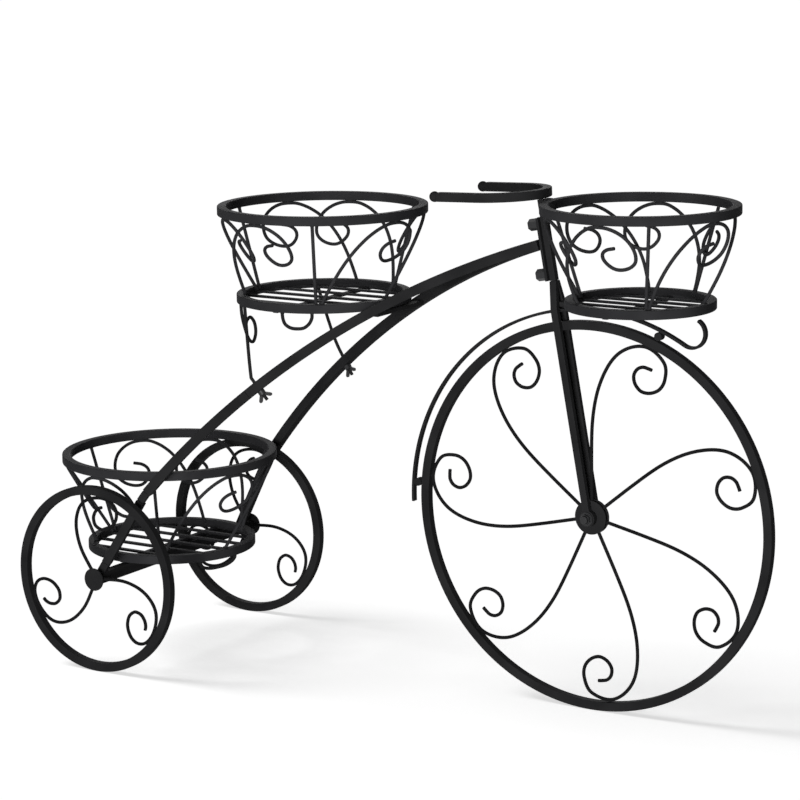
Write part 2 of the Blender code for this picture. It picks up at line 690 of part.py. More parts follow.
def build_handlebar():
    head_x = -(HANDLE_LOW - FRONT_RIM_R) * math.tan(FORK_RAKE)
    middle = HANDLE_LOW + BAR / 2 * (1 + HANDLE_FALL)
    bend_x = head_x - HANDLE_HALF
    back_x = head_x - HANDLE_LONG
    points = [Vector((back_x, -HANDLE_HALF, middle))]
    for i in range(HANDLE_TURNS + 1):
        angle = -math.pi / 2 + math.pi * i / HANDLE_TURNS
        points.append(
            Vector((
                bend_x + HANDLE_HALF * math.cos(angle), HANDLE_HALF * math.sin(angle), middle
            ))
        )
    points.append(Vector((back_x, HANDLE_HALF, middle)))
    for point in points:
        point.z -= (head_x - point.x) * HANDLE_FALL
    square_strand("handlebar", points, BAR)
    flat = HANDLE_KNOB_R * HANDLE_KNOB_FLAT_SHARE
    for side, sign in (("left", 1), ("right", -1)):
        shape = bmesh.new()
        bmesh.ops.create_uvsphere(shape, u_segments=16, v_segments=10, radius=HANDLE_KNOB_R)
        cut = bmesh.ops.bisect_plane(
            shape, geom=[*shape.verts, *shape.edges, *shape.faces], plane_co=(flat, 0, 0),
            plane_no=(1, 0, 0), clear_outer=True,
        )
        edges = [item for item in cut["geom_cut"] if isinstance(item, bmesh.types.BMEdge)]
        bmesh.ops.holes_fill(shape, edges=edges)
        mesh = bpy.data.meshes.new(f"handle_knob_{side}")
        shape.to_mesh(mesh)
        shape.free()
        finish_mesh(mesh)
        place = (back_x - GAP - flat, sign * HANDLE_HALF, points[0].z)
        add_piece(f"handle_knob_{side}", mesh, STAND, Matrix.Translation(place))


def build_fender():
    """One strip over the wheel, curled up at its front end, with its spacers and its bridge."""
    middle = FENDER_IN + FENDER_THICK / 2
    count = round((FENDER_BACK - FENDER_FRONT) / FENDER_STEP)
    route = []
    for i in range(count + 1):
        turn = FENDER_BACK + (FENDER_FRONT - FENDER_BACK) * i / count
        route.append(polar(middle, turn))
    heading = FENDER_FRONT - 90
    curl_centre = route[-1] + polar(FENDER_CURL_R, heading + 90)
    for i in range(1, 13):
        route.append(curl_centre + polar(FENDER_CURL_R, heading - 90 + i * 15))
    upper, lower = [], []
    for i, point in enumerate(route):
        before = route[max(i - 1, 0)]
        after = route[min(i + 1, len(route) - 1)]
        along = (after - before).normalized()
        side = Vector((-along.y, along.x, 0)) * (FENDER_THICK / 2)
        upper.append(point + side)
        lower.append(point - side)
    as_mesh(plate("fender_strip", [upper + lower[::-1]], FENDER_WIDE, FRONT_AXIS))
    for i, turn in enumerate(SPACER_ANGLES):
        place = Matrix.Translation(polar(FENDER_IN - GAP - SPACER_R, turn))
        half = SPACER_LONG / 2
        cylinder(f"fender_spacer_{i + 1}", SPACER_R, -half, half, FRONT_AXIS, place, sides=20)
    ring_back = FRONT_BASKET["x"] - FRONT_BASKET["bottom_r"]
    back = ring_back - BRIDGE_REACH
    reach = (BRIDGE_HIGH - FRONT_RIM_R) * math.cos(FORK_RAKE) - back * math.sin(FORK_RAKE)
    half = leg_inner_at(reach) - GAP
    box("fork_bridge", (back, -half, BRIDGE_LOW), (ring_back + BRIDGE_LAP, half, BRIDGE_HIGH))


def build_rear_frame():
    length = (KNEE - ARCH_START).length
    gap_share = GAP / length
    room = JOINT_LONG / 2 + GAP + SKEW_SHARE * ARCH_BAR
    beam = box(
        "axle_beam", (-WHEELBASE - BAR / 2, -BEAM_HALF, BEAM_HIGH - BEAM_TALL),
        (-WHEELBASE + BAR / 2, BEAM_HALF, BEAM_HIGH),
    )
    pin_end = REAR_WHEEL_Y + REAR_HUB_OUT - HUB_PLAY
    pins = cylinder(
        "axle_pins", REAR_AXLE_R, -pin_end, pin_end, STAND,
        along_axis((0, 1, 0), (-WHEELBASE, 0, REAR_RIM_R)), True, sides=20,
    )
    join_tool(beam, pins, "UNION")
    for side, sign in (("left", 1), ("right", -1)):
        corner = KNEE * Vector((1, sign, 1))
        foot = FOOT * Vector((1, sign, 1))
        rise = (corner - foot).normalized()
        _, last, _ = arch_point(1, sign)
        for half, first, final in (
            ("upper", 0, ARCH_SEAM_SHARE - gap_share / 2),
            ("lower", ARCH_SEAM_SHARE + gap_share / 2, 1 - room / length),
        ):
            count = max(round(ARCH_POINTS * (final - first)), 2)
            points = [
                arch_point(first + (final - first) * i / count, sign)[0] for i in range(count + 1)
            ]
            bar = square_strand(f"arch_{half}_{side}", points, ARCH_BAR)
            if half == "upper":
                bar = as_mesh(bar)
                middle, _, normal = arch_point(STUD_SHARE, sign)
                hole = cylinder(
                    f"stud_hole_{side}", WIRE_R + STUD_PLAY, -ARCH_BAR, ARCH_BAR, STAND,
                    along_axis(normal, middle), True, sides=16,
                )
                join_tool(bar, hole, "DIFFERENCE")
        mean = (last - rise).normalized()
        bar_between(
            f"knee_joint_{side}", corner - mean * (JOINT_LONG / 2),
            corner + mean * (JOINT_LONG / 2), JOINT_BAR,
        )
        bar_between(f"rear_arm_{side}", foot + rise * (FOOT_STUB + GAP), corner - rise * room, BAR)
        stub = bar_between(
            f"arm_stub_{side}", foot - rise * (BAR / 2), foot + rise * FOOT_STUB, JOINT_BAR,
            STAND, True,
        )
        join_tool(beam, stub, "UNION")
    inner = brace_half()
    box(
        "cross_brace", (BRACE.x - BAR / 2, -inner, BRACE_HIGH - BRACE_TALL),
        (BRACE.x + BAR / 2, inner, BRACE_HIGH),
    )


def brace_half():
    """Half the brace: the space between the arches at its front face, less the gap."""
    slope = (KNEE.y - ARCH_START.y) / (ARCH_START.x - KNEE.x)
    half_width = ARCH_BAR / 2 * math.sqrt(1 + slope * slope)
    return ARCH_START.y + slope * (ARCH_START.x - BRACE.x - BAR / 2) - half_width - GAP


def flat_scroll(foot, top, ahead, bow):
    """A scroll from its foot up to its top, in the plane that holds both and the way ahead."""
    back = (top - foot).dot(ahead)
    slope = top - foot - ahead * back
    tall = slope.length
    sides = [
        (-back * across - 4 * bow * up * (1 - up), up, 0) for across, up in SCROLL_STEM_SHARES
    ]
    sides += [(across * tall, up, 0) for across, up in SCROLL_CURL_SHARES]
    route = smooth_route(sides)
    highest = max(range(len(route)), key=lambda i: route[i].y)
    points = [top + ahead * across + slope * (up / route[highest].y - 1) for across, up, _ in route]
    return thin_out(points, keep=highest)


def build_basket(name, basket):
    """A top ring, and a cage of bottom ring, slats, cross bar and side rods in one piece."""
    axis = make_empty(f"{name}_axis", (basket["x"], 0, 0), None, STAND)
    top, bottom = basket["top"], basket["bottom"]
    square_ring(f"{name}_top_ring", basket["top_r"], top - BAR, top, RING_STEPS, axis)
    cage = square_ring(f"{name}_cage", basket["bottom_r"], bottom - BAR, bottom, RING_STEPS, axis)
    inside = basket["bottom_r"] - BAR
    slats = []
    for share in SLAT_SHARES:
        y = share * inside
        reach = math.sqrt(inside * inside - y * y) + SLAT_END
        high = bottom - SLAT_DOWN
        slats.append(
            box(
                f"{name}_slat", (-reach, y - SLAT_WIDE / 2, high - SLAT_THICK),
                (reach, y + SLAT_WIDE / 2, high), axis,
            )
        )
    join_tool(cage, gather(f"{name}_slats", slats, axis), "UNION")
    cross_high = bottom - SLAT_DOWN - SLAT_THICK + SINK
    reach = basket["bottom_r"] * CROSS_SHARE
    cross = box(
        f"{name}_cross_bar", (-SLAT_WIDE / 2, -reach, cross_high - CROSS_THICK),
        (SLAT_WIDE / 2, reach, cross_high), axis, None, True,
    )
    join_tool(cage, cross, "UNION")
    foot_r = inside - WIRE_R + SINK
    foot_z = bottom - ROD_FOOT
    head_r = basket["top_r"] - BAR / 2
    head_z = top - BAR - GAP
    lean = math.atan2(head_r - foot_r, head_z - foot_z)
    end_z = head_z - WIRE_R * math.sin(lean)
    end_r = foot_r + (head_r - foot_r) * (end_z - foot_z) / (head_z - foot_z)
    rods, scrolls = [], []
    for turn in basket["rods"]:
        ends = (polar(foot_r, turn, foot_z), polar(end_r, turn, end_z))
        rods.append(as_mesh(strand(f"{name}_rod", ends, WIRE_R, 1, 0.0, axis)))
    for turn in basket["scrolls"]:
        over = turn + basket["reach"]
        top = polar(head_r, over, head_z - WIRE_R)
        route = flat_scroll(polar(foot_r, turn, foot_z), top, polar(1, over + 90), basket["bow"])
        scrolls.append(as_mesh(strand(f"{name}_scroll", route, WIRE_R, 1, 0.0, axis)))
    join_tool(cage, gather(f"{name}_rods", rods, axis), "UNION")
    join_tool(cage, gather(f"{name}_scrolls", scrolls, axis), "UNION")


def hung(route, turn, both=True):
    """A route whose ends leave what carries them straight down for the wire's radius."""
    deep = route[0].z - 1.5 * WIRE_R
    middle = [point for point in route[1:-1] if point.z < deep or not both]
    route = thin_out([route[0], *middle, route[-1]], turn)
    drop = Vector((0, 0, WIRE_R))
    route.insert(1, route[0] - drop)
    if both:
        route.insert(-1, route[-1] - drop)
    return route


def build_middle_legs():
    ring_z = MIDDLE_BASKET["bottom"] - BAR - GAP
    ring_r = MIDDLE_BASKET["bottom_r"] - BAR / 2
    for side, sign in (("left", 1), ("right", -1)):
        middle, _, normal = arch_point(STUD_SHARE, sign)
        entry = middle - normal * (ARCH_BAR / 2 + LEG_BEND)
        top = polar(ring_r, LEG_RING_TURN, ring_z) * Vector((1, -sign, 1))
        top.x += MIDDLE_BASKET["x"]
        points = [top]
        for down, along in LEG_SHARES:
            points.append(
                Vector((
                    top.x + (entry.x - top.x) * along, top.y + (entry.y - top.y) * along,
                    top.z + (entry.z - top.z) * down,
                ))
            )
        points += [entry, middle, middle + normal * (ARCH_BAR / 2 + STUD_ROOM)]
        route = hung(smooth_route(points[:-2], 4) + points[-2:], 8.0, False)
        strand(f"basket_leg_{side}", route, WIRE_R, 2)
        place = along_axis(normal, middle + normal * (ARCH_BAR / 2 + GAP))
        axis = make_empty(f"wing_nut_axis_{side}", place.translation, place.to_3x3().to_4x4(), STAND)
        build_wing_nut(f"wing_nut_{side}", axis)


def build_wing_nut(name, axis):
    nut = cylinder(name, NUT_R, 0, NUT_LONG, axis, sides=20)
    half = WING_WIDE / 2
    reach = WING_LONG - half
    outline = [(-half, 0), (half, 0)]
    outline += [
        (half * math.cos(step * math.pi / 6), reach + half * math.sin(step * math.pi / 6))
        for step in range(7)
    ]
    stand_up = Matrix(((0, 0, 1, 0), (1, 0, 0, 0), (0, 1, 0, 0), (0, 0, 0, 1)))
    lift = Matrix.Translation((0, 0, NUT_LONG / 2))
    for i, turn in enumerate((WING_FLARE, -WING_FLARE)):
        lean = Matrix.Rotation(math.radians(turn), 4, "X")
        wing = plate(f"{name}_wing_{i + 1}", [outline], WING_THICK, axis, lift @ lean @ stand_up, True)
        join_tool(nut, as_mesh(wing), "UNION")
    bore = cylinder(
        f"{name}_bore", WIRE_R + STUD_PLAY, -OVERRUN, WING_LONG + OVERRUN, axis, tool=True, sides=20
    )
    join_tool(nut, bore, "DIFFERENCE")


def hanging_loop(name, basket, turns, drop):
    """A wire that hangs in a loop between two places under a bottom ring."""
    radius = basket["bottom_r"] - BAR / 2
    level = basket["bottom"] - BAR - GAP
    first, last = (polar(radius, turn, level) for turn in turns)
    first.x += basket["x"]
    last.x += basket["x"]
    points = [
        first + (last - first) * along - Vector((0, 0, drop * down)) for along, down in LOOP_SHARES
    ]
    strand(name, hung(smooth_route(points, 6), 18.0), WIRE_R, 2)


def build_hanging_scrolls():
    hanging_loop("middle_basket_loop", MIDDLE_BASKET, LOOP_TURNS, LOOP_DROP)
    hanging_loop("rear_basket_loop", REAR_BASKET, REAR_LOOP_TURNS, REAR_LOOP_DROP)
    level = MIDDLE_BASKET["bottom"] - BAR - GAP
    outward = polar(1, CURL_TURN)
    along = Vector((-outward.y, outward.x, 0))
    origin = Vector((MIDDLE_BASKET["x"], 0, level)) + outward * CURL_OUT
    points = [
        origin + along * (CURL_START + CURL_WIDE * wide) - Vector((0, 0, CURL_DROP * down))
        for wide, down in CURL_SHARES
    ]
    route = hung(smooth_route(points, 6), 18.0, False)
    strand("middle_basket_scroll", route, WIRE_R, 2)


build_front_wheel()
build_rear_wheel("left", 1)
build_rear_wheel("right", -1)
build_fork()
build_head()
build_handlebar()
build_fender()
build_rear_frame()
build_basket("front_basket", FRONT_BASKET)
build_basket("middle_basket", MIDDLE_BASKET)
build_basket("rear_basket", REAR_BASKET)
build_middle_legs()
build_hanging_scrolls()

PAINT = (0.016, 0.016, 0.017)
HARDWARE = (0.03, 0.03, 0.032)
for piece in PARTS.objects:
    if piece.type not in ("MESH", "CURVE"):
        continue
    colour = HARDWARE if any(word in piece.name for word in ("bolt", "nut")) else PAINT
    piece.data.materials.clear()
    piece.data.materials.append(make_material(f"{piece.name}_paint", colour, 0.42, 0.0))
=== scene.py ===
import math

import bmesh
import bpy
from mathutils import Matrix, Vector


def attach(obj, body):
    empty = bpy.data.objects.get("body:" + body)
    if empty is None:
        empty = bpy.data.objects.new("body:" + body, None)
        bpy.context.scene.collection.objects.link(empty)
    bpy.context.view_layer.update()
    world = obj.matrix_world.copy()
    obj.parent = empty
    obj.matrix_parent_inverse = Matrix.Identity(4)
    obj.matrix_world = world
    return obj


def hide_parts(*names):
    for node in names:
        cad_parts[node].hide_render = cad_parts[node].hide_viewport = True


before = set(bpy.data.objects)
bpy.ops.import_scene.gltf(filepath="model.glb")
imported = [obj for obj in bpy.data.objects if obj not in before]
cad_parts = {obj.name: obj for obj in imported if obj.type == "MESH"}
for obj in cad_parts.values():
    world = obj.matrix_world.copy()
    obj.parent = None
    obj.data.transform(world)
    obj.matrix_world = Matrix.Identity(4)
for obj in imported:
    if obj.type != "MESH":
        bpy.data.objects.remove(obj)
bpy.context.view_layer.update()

# Camera: a long lens in front of the stand's right side, a little above the baskets,
# turned by the angles that the wheels' outlines give in the photograph.
camera_place = Vector((1.635, -2.5747, 0.9049))
camera_yaw = math.radians(32.458)
camera_pitch = math.radians(9.53)
camera_roll = math.radians(-0.8)
lens_mm = 131.1
sensor_mm = 36.0
image_drop_share = -0.1

ahead = Vector((
    -math.sin(camera_yaw) * math.cos(camera_pitch),
    math.cos(camera_yaw) * math.cos(camera_pitch),
    -math.sin(camera_pitch),
))
level = Vector((math.cos(camera_yaw), math.sin(camera_yaw), 0))
above = level.cross(ahead)
right = math.cos(camera_roll) * level + math.sin(camera_roll) * above
up = math.cos(camera_roll) * above - math.sin(camera_roll) * level
lens = bpy.data.cameras.new("camera")
lens.sensor_width = sensor_mm
lens.lens = lens_mm
lens.shift_y = image_drop_share
camera = bpy.data.objects.new("camera", lens)
bpy.context.scene.collection.objects.link(camera)
camera.matrix_world = Matrix.LocRotScale(
    camera_place, Matrix((right, up, -ahead)).transposed().to_quaternion(), None
)
bpy.context.scene.camera = camera


def linear(hex_colour):
    """A colour written as sRGB hex, as linear values with an alpha of 1."""
    values = []
    for i in (0, 2, 4):
        share = int(hex_colour[i:i + 2], 16) / 255
        values.append(share / 12.92 if share <= 0.04045 else ((share + 0.055) / 1.055) ** 2.4)
    return (*values, 1.0)


def add_node(tree, kind, inputs=None, **settings):
    """A node with its settings; an input is a value, or the output that is linked to it."""
    made = tree.nodes.new(kind)
    for name, value in settings.items():
        setattr(made, name, value)
    for name, value in (inputs or {}).items():
        if isinstance(value, bpy.types.NodeSocket):
            tree.links.new(value, made.inputs[name])
        else:
            made.inputs[name].default_value = value
    return made


# Studio: a plain white floor that runs off to a white surround. A large softbox beside the
# camera lights the stand, a weaker one lights its back, and a hazy sun that reaches only the
# floor gives the soft shadow that runs off to the right.
surround_colour = "FFFFFF"
surround_light = 0.03  # what it lights, where 1 would be as bright as it looks
floor_colour = "F4F4F4"
floor_bounce = "202020"  # the floor's colour for the light that it sends back up
floor_size = 60.0
floor_glow = 0.67
stand_middle = (0, 0, 0.28)
key_place = (1.05, -3.25, 0.42)  # far out, so that the stand is lit evenly along its length
key_size = 1.3
key_watts = 108
back_place = (-1.9, 2.9, 1.1)
back_size = 1.6
back_watts = 40
haze_light = 1.5
haze_angle = 24
haze_from = (-0.9, -0.25, 1.05)


def shown(tree):
    """1 for the rays that show the surround itself, 0 for those that carry its light."""
    path = add_node(tree, "ShaderNodeLightPath")
    either = add_node(tree, "ShaderNodeMath", {
        0: path.outputs["Is Camera Ray"], 1: path.outputs["Is Glossy Ray"],
    }, operation="MAXIMUM")
    return add_node(tree, "ShaderNodeMath", {
        0: either.outputs[0], 1: path.outputs["Is Transmission Ray"],
    }, operation="MAXIMUM").outputs[0]


world = bpy.data.worlds.new("studio")
bpy.context.scene.world = world
world.use_nodes = True
tree = world.node_tree
tree.nodes.clear()
strength = add_node(tree, "ShaderNodeMapRange", {"Value": shown(tree), "To Min": surround_light})
surround = add_node(tree, "ShaderNodeBackground", {
    "Color": linear(surround_colour), "Strength": strength.outputs[0],
})
add_node(tree, "ShaderNodeOutputWorld", {"Surface": surround.outputs[0]})

floor_material = bpy.data.materials.new("studio_floor")
floor_material.use_nodes = True
tree = floor_material.node_tree
tree.nodes.clear()
in_view = shown(tree)
amount = add_node(tree, "ShaderNodeMath", {0: in_view, 1: floor_glow}, operation="MULTIPLY")
tone = add_node(tree, "ShaderNodeMix", {
    "Factor": in_view, "A": linear(floor_bounce), "B": linear(floor_colour),
}, data_type="RGBA")
paint = add_node(tree, "ShaderNodeBsdfDiffuse", {"Color": tone.outputs["Result"]})
glow = add_node(tree, "ShaderNodeEmission", {
    "Color": linear(surround_colour), "Strength": amount.outputs[0],
})
both = add_node(tree, "ShaderNodeAddShader", {0: paint.outputs[0], 1: glow.outputs[0]})
add_node(tree, "ShaderNodeOutputMaterial", {"Surface": both.outputs[0]})

floor_mesh = bpy.data.meshes.new("studio_floor")
shape = bmesh.new()
bmesh.ops.create_grid(shape, size=floor_size / 2)
shape.to_mesh(floor_mesh)
shape.free()
floor_mesh.materials.append(floor_material)
floor = bpy.data.objects.new("studio_floor", floor_mesh)
bpy.context.scene.collection.objects.link(floor)

not_the_floor = bpy.data.collections.new("lit_by_the_softboxes")
not_the_floor.objects.link(floor)
not_the_floor.collection_objects[0].light_linking.link_state = "EXCLUDE"


def soft_lamp(name, place, aim, size, watts):
    """A square softbox at a place, turned to a point, which lights all but the floor."""
    data = bpy.data.lights.new(name, "AREA")
    data.size = size
    data.energy = watts
    lamp = bpy.data.objects.new(name, data)
    bpy.context.scene.collection.objects.link(lamp)
    turn = (Vector(aim) - Vector(place)).to_track_quat("-Z", "Y")
    lamp.matrix_world = Matrix.LocRotScale(Vector(place), turn, None)
    lamp.light_linking.receiver_collection = not_the_floor


soft_lamp("key_softbox", key_place, stand_middle, key_size, key_watts)
soft_lamp("back_softbox", back_place, stand_middle, back_size, back_watts)
haze = bpy.data.lights.new("hazy_sun", "SUN")
haze.energy = haze_light
haze.angle = math.radians(haze_angle)
sun = bpy.data.objects.new("hazy_sun", haze)
bpy.context.scene.collection.objects.link(sun)
sun.rotation_mode = "QUATERNION"
sun.rotation_quaternion = Vector(haze_from).to_track_quat("Z", "Y")
only_floor = bpy.data.collections.new("lit_by_the_sun")
only_floor.objects.link(floor)
sun.light_linking.receiver_collection = only_floor

# Front wheel: a hoop of 9.5 mm square mild steel bar, rolled and butt welded, with seven
# scrolled spokes of 3.7 mm wire that are welded to the hoop and to a hub with two pressed discs.
bar = 0.0095
wire = 0.0037
wire_r = wire / 2
gap = 0.0003  # between pieces that touch, which the welds fill
bar_corner = 0.001
corner_steps = 3
wire_sides = 14
route_parts = 12  # of a curve between two of its given points
cut_edge = 0.0004  # the rounding of a sawn or pressed edge
edge_segments = 2
merge_distance = 0.000002
least_edge = 0.000001
front_rim_r = 0.205
front_axle = Vector((0.22865, 0, front_rim_r))
front_rim_steps = 180
front_spokes = 7
front_spoke_start = 17.7
front_spoke_shares = (
    (0.307, 21.3), (0.531, 20.3), (0.735, 16.8), (0.908, 10.9), (0.997, 2.6), (0.971, -5.2),
    (0.894, -8.1), (0.829, -8.0), (0.783, -5.4), (0.766, -1.7), (0.786, 1.6), (0.825, 3.2),
    (0.865, 2.7), (0.89, 1.0), (0.897, -1.1), (0.899, -2.6),
)
hub_core_r = 0.0085
hub_sleeve_r = 0.0075
hub_disc_r = 0.018
hub_disc = 0.0022
hub_bore = 0.0043
front_hub_end = 0.00565
hub_steps = 48
weld_size = 0.0058
spoke_weld = 0.00464
weld_seed = 4
bead_rounds = 3
bead_least = (0.72, 0.8, 0.66)  # of a bead's size, along each of its axes
bead_most = (1.0, 1.05, 0.9)

# Powder coat: black polyester powder, sprayed on and baked. It gives the eye a deep, nearly
# matt black with a fine orange peel and cloudy differences in its depth, and a paler black is
# painted along the rounded edges as a highlight. The one coat is drawn in three tones: the bars
# dark grey, the wheels' thin wires darker as painted shade, the baskets palest as a painted sheen.
bar_blacks = ("29292A", "333334", "454547")
# The wheels' wires are drawn darker than the bars: painted shade.
wire_blacks_painted_shade = ("1D1D1E", "262627", "343436")
# The baskets are drawn paler than the bars: a painted sheen.
basket_blacks_painted_sheen = ("353537", "404042", "525254")
cloud_mm = 45
cloud_detail = 3.0
cloud_range = (0.35, 0.65)
coat_specular = 0.01  # far below other paint's, as the white surround would grey the black
coat_rough = (0.6, 0.7)
rough_range = (0.3, 0.7)
peel_mm = 1.6
peel_detail = 1.0
peel_depth = 0.00004
peel_strength = 0.5
edge_mm = 0.9
edge_samples = 4
edge_highlight_range = (0.98, 0.8)  # the cosines between which a rounded edge goes from plain to its painted highlight
edge_highlight_share = 0.7


def powder_coat(name, blacks):
    """The coat in three blacks: its deep places, its thin places and a paler one painted on its
    edges as a highlight.
    """
    made = bpy.data.materials.new(name)
    made.use_nodes = True
    tree = made.node_tree
    shader = tree.nodes["Principled BSDF"]
    shader.inputs["Specular IOR Level"].default_value = coat_specular
    where = add_node(tree, "ShaderNodeTexCoord").outputs["Object"]
    cloud = add_node(tree, "ShaderNodeTexNoise", {
        "Vector": where, "Scale": 1000 / cloud_mm, "Detail": cloud_detail,
    })
    depth = add_node(tree, "ShaderNodeMapRange", {
        "Value": cloud.outputs[0], "From Min": cloud_range[0], "From Max": cloud_range[1],
    })
    deep, thin, edge = (linear(black) for black in blacks)
    colour = add_node(tree, "ShaderNodeMix", {
        "Factor": depth.outputs[0], "A": deep, "B": thin,
    }, data_type="RGBA")
    rounded = add_node(tree, "ShaderNodeBevel", {"Radius": edge_mm / 1000}, samples=edge_samples)
    flat = add_node(tree, "ShaderNodeNewGeometry")
    turned_by = add_node(tree, "ShaderNodeVectorMath", {
        0: rounded.outputs[0], 1: flat.outputs["True Normal"],
    }, operation="DOT_PRODUCT")
    # The rounded edges get the paler black: a painted highlight.
    edge_highlight_mask = add_node(tree, "ShaderNodeMapRange", {
        "Value": turned_by.outputs["Value"], "From Min": edge_highlight_range[0], "From Max": edge_highlight_range[1],
        "To Max": edge_highlight_share,
    })
    edge_highlighted = add_node(tree, "ShaderNodeMix", {
        "Factor": edge_highlight_mask.outputs[0], "A": colour.outputs["Result"], "B": edge,
    }, data_type="RGBA")
    sheen = add_node(tree, "ShaderNodeMapRange", {
        "Value": cloud.outputs[0], "From Min": rough_range[0], "From Max": rough_range[1],
        "To Min": coat_rough[0], "To Max": coat_rough[1],
    })
    peel = add_node(tree, "ShaderNodeTexNoise", {
        "Vector": where, "Scale": 1000 / peel_mm, "Detail": peel_detail,
    })
    bump = add_node(tree, "ShaderNodeBump", {
        "Height": peel.outputs[0], "Strength": peel_strength, "Distance": peel_depth,
    })
    tree.links.new(edge_highlighted.outputs["Result"], shader.inputs["Base Color"])
    tree.links.new(sheen.outputs[0], shader.inputs["Roughness"])
    tree.links.new(bump.outputs[0], shader.inputs["Normal"])
    return made


coat = powder_coat("black_powder_coat", bar_blacks)
# A darker copy of the same coat, as painted shade on the wheels' wires.
wire_coat_painted_shade = powder_coat("black_powder_coat_on_wheel_wire", wire_blacks_painted_shade)
# A paler copy of the same coat, as a painted sheen on the baskets.
basket_coat_painted_sheen = powder_coat("black_powder_coat_on_baskets", basket_blacks_painted_sheen)


def new_tree(name, sockets):
    """A Geometry Nodes tree with named inputs, and the outputs of its input node."""
    made = bpy.data.node_groups.new(name, "GeometryNodeTree")
    made.interface.new_socket("Geometry", in_out="OUTPUT", socket_type="NodeSocketGeometry")
    made.interface.new_socket("Geometry", in_out="INPUT", socket_type="NodeSocketGeometry")
    for label, kind in sockets:
        made.interface.new_socket(label, in_out="INPUT", socket_type=kind)
    made.interface.new_socket("Finish", in_out="INPUT", socket_type="NodeSocketMaterial")
    return made, add_node(made, "NodeGroupInput").outputs


def end_tree(made, given, geometry):
    """Real faces in the right material at the end of a tree."""
    real = add_node(made, "GeometryNodeRealizeInstances", {"Geometry": geometry})
    painted = add_node(made, "GeometryNodeSetMaterial", {
        "Geometry": real.outputs[0], "Material": given["Finish"],
    })
    add_node(made, "NodeGroupOutput", {"Geometry": painted.outputs[0]})


# A bar or a wire that follows a line
bar_tree, given = new_tree("bar_on_a_line", (
    ("Wide", "NodeSocketFloat"), ("Deep", "NodeSocketFloat"), ("Corner", "NodeSocketFloat"),
    ("Corner Steps", "NodeSocketInt"), ("Round", "NodeSocketBool"), ("Sides", "NodeSocketInt"),
))
line = add_node(bar_tree, "GeometryNodeMeshToCurve", {"Mesh": given["Geometry"]})
flat = add_node(bar_tree, "GeometryNodeCurvePrimitiveQuadrilateral", {
    "Width": given["Wide"], "Height": given["Deep"],
})
eased = add_node(bar_tree, "GeometryNodeFilletCurve", {
    "Curve": flat.outputs[0], "Count": given["Corner Steps"], "Radius": given["Corner"],
}, mode="POLY")
half = add_node(bar_tree, "ShaderNodeMath", {0: given["Wide"], 1: 0.5}, operation="MULTIPLY")
circle = add_node(bar_tree, "GeometryNodeCurvePrimitiveCircle", {
    "Resolution": given["Sides"], "Radius": half.outputs[0],
})
section = add_node(bar_tree, "GeometryNodeSwitch", {
    "Switch": given["Round"], "False": eased.outputs[0], "True": circle.outputs[0],
}, input_type="GEOMETRY")
swept = add_node(bar_tree, "GeometryNodeCurveToMesh", {
    "Curve": line.outputs[0], "Profile Curve": section.outputs[0], "Fill Caps": True,
})
end_tree(bar_tree, given, swept.outputs[0])

# Copies of one piece, turned about the Y axis
round_tree, given = new_tree("copies_round_the_axle", (("Count", "NodeSocketInt"),))
dots = add_node(round_tree, "GeometryNodePoints", {"Count": given["Count"]})
index = add_node(round_tree, "GeometryNodeInputIndex")
step = add_node(round_tree, "ShaderNodeMath", {
    0: -math.tau, 1: given["Count"],
}, operation="DIVIDE")
angle = add_node(round_tree, "ShaderNodeMath", {
    0: index.outputs[0], 1: step.outputs[0],
}, operation="MULTIPLY")
turn = add_node(round_tree, "ShaderNodeCombineXYZ", {"Y": angle.outputs[0]})
copies = add_node(round_tree, "GeometryNodeInstanceOnPoints", {
    "Points": dots.outputs[0], "Instance": given["Geometry"], "Rotation": turn.outputs[0],
})
end_tree(round_tree, given, copies.outputs[0])

# Weld beads, each a little different, on the given points
weld_tree, given = new_tree("weld_beads", (("Size", "NodeSocketFloat"), ("Seed", "NodeSocketInt")))
dots = add_node(weld_tree, "GeometryNodeMeshToPoints", {"Mesh": given["Geometry"]})
half = add_node(weld_tree, "ShaderNodeMath", {0: given["Size"], 1: 0.5}, operation="MULTIPLY")
bead = add_node(weld_tree, "GeometryNodeMeshIcoSphere", {
    "Radius": half.outputs[0], "Subdivisions": bead_rounds,
})
spin = add_node(weld_tree, "FunctionNodeRandomValue", {
    "Max": (math.tau, math.tau, math.tau), "Seed": given["Seed"],
}, data_type="FLOAT_VECTOR")
swell = add_node(weld_tree, "FunctionNodeRandomValue", {
    "Min": bead_least, "Max": bead_most, "Seed": given["Seed"],
}, data_type="FLOAT_VECTOR")
beads = add_node(weld_tree, "GeometryNodeInstanceOnPoints", {
    "Points": dots.outputs[0], "Instance": bead.outputs[0], "Rotation": spin.outputs[0],
    "Scale": swell.outputs[0],
})
end_tree(weld_tree, given, beads.outputs[0])


def lines(routes, closed=False):
    """A mesh of bare edges, with one line for each route."""
    mesh = bpy.data.meshes.new("lines")
    points, edges = [], []
    for route in routes:
        first = len(points)
        points.extend(route)
        edges += [(i, i + 1) for i in range(first, len(points) - 1)]
        if closed:
            edges.append((len(points) - 1, first))
    mesh.from_pydata(points, edges, [])
    return mesh


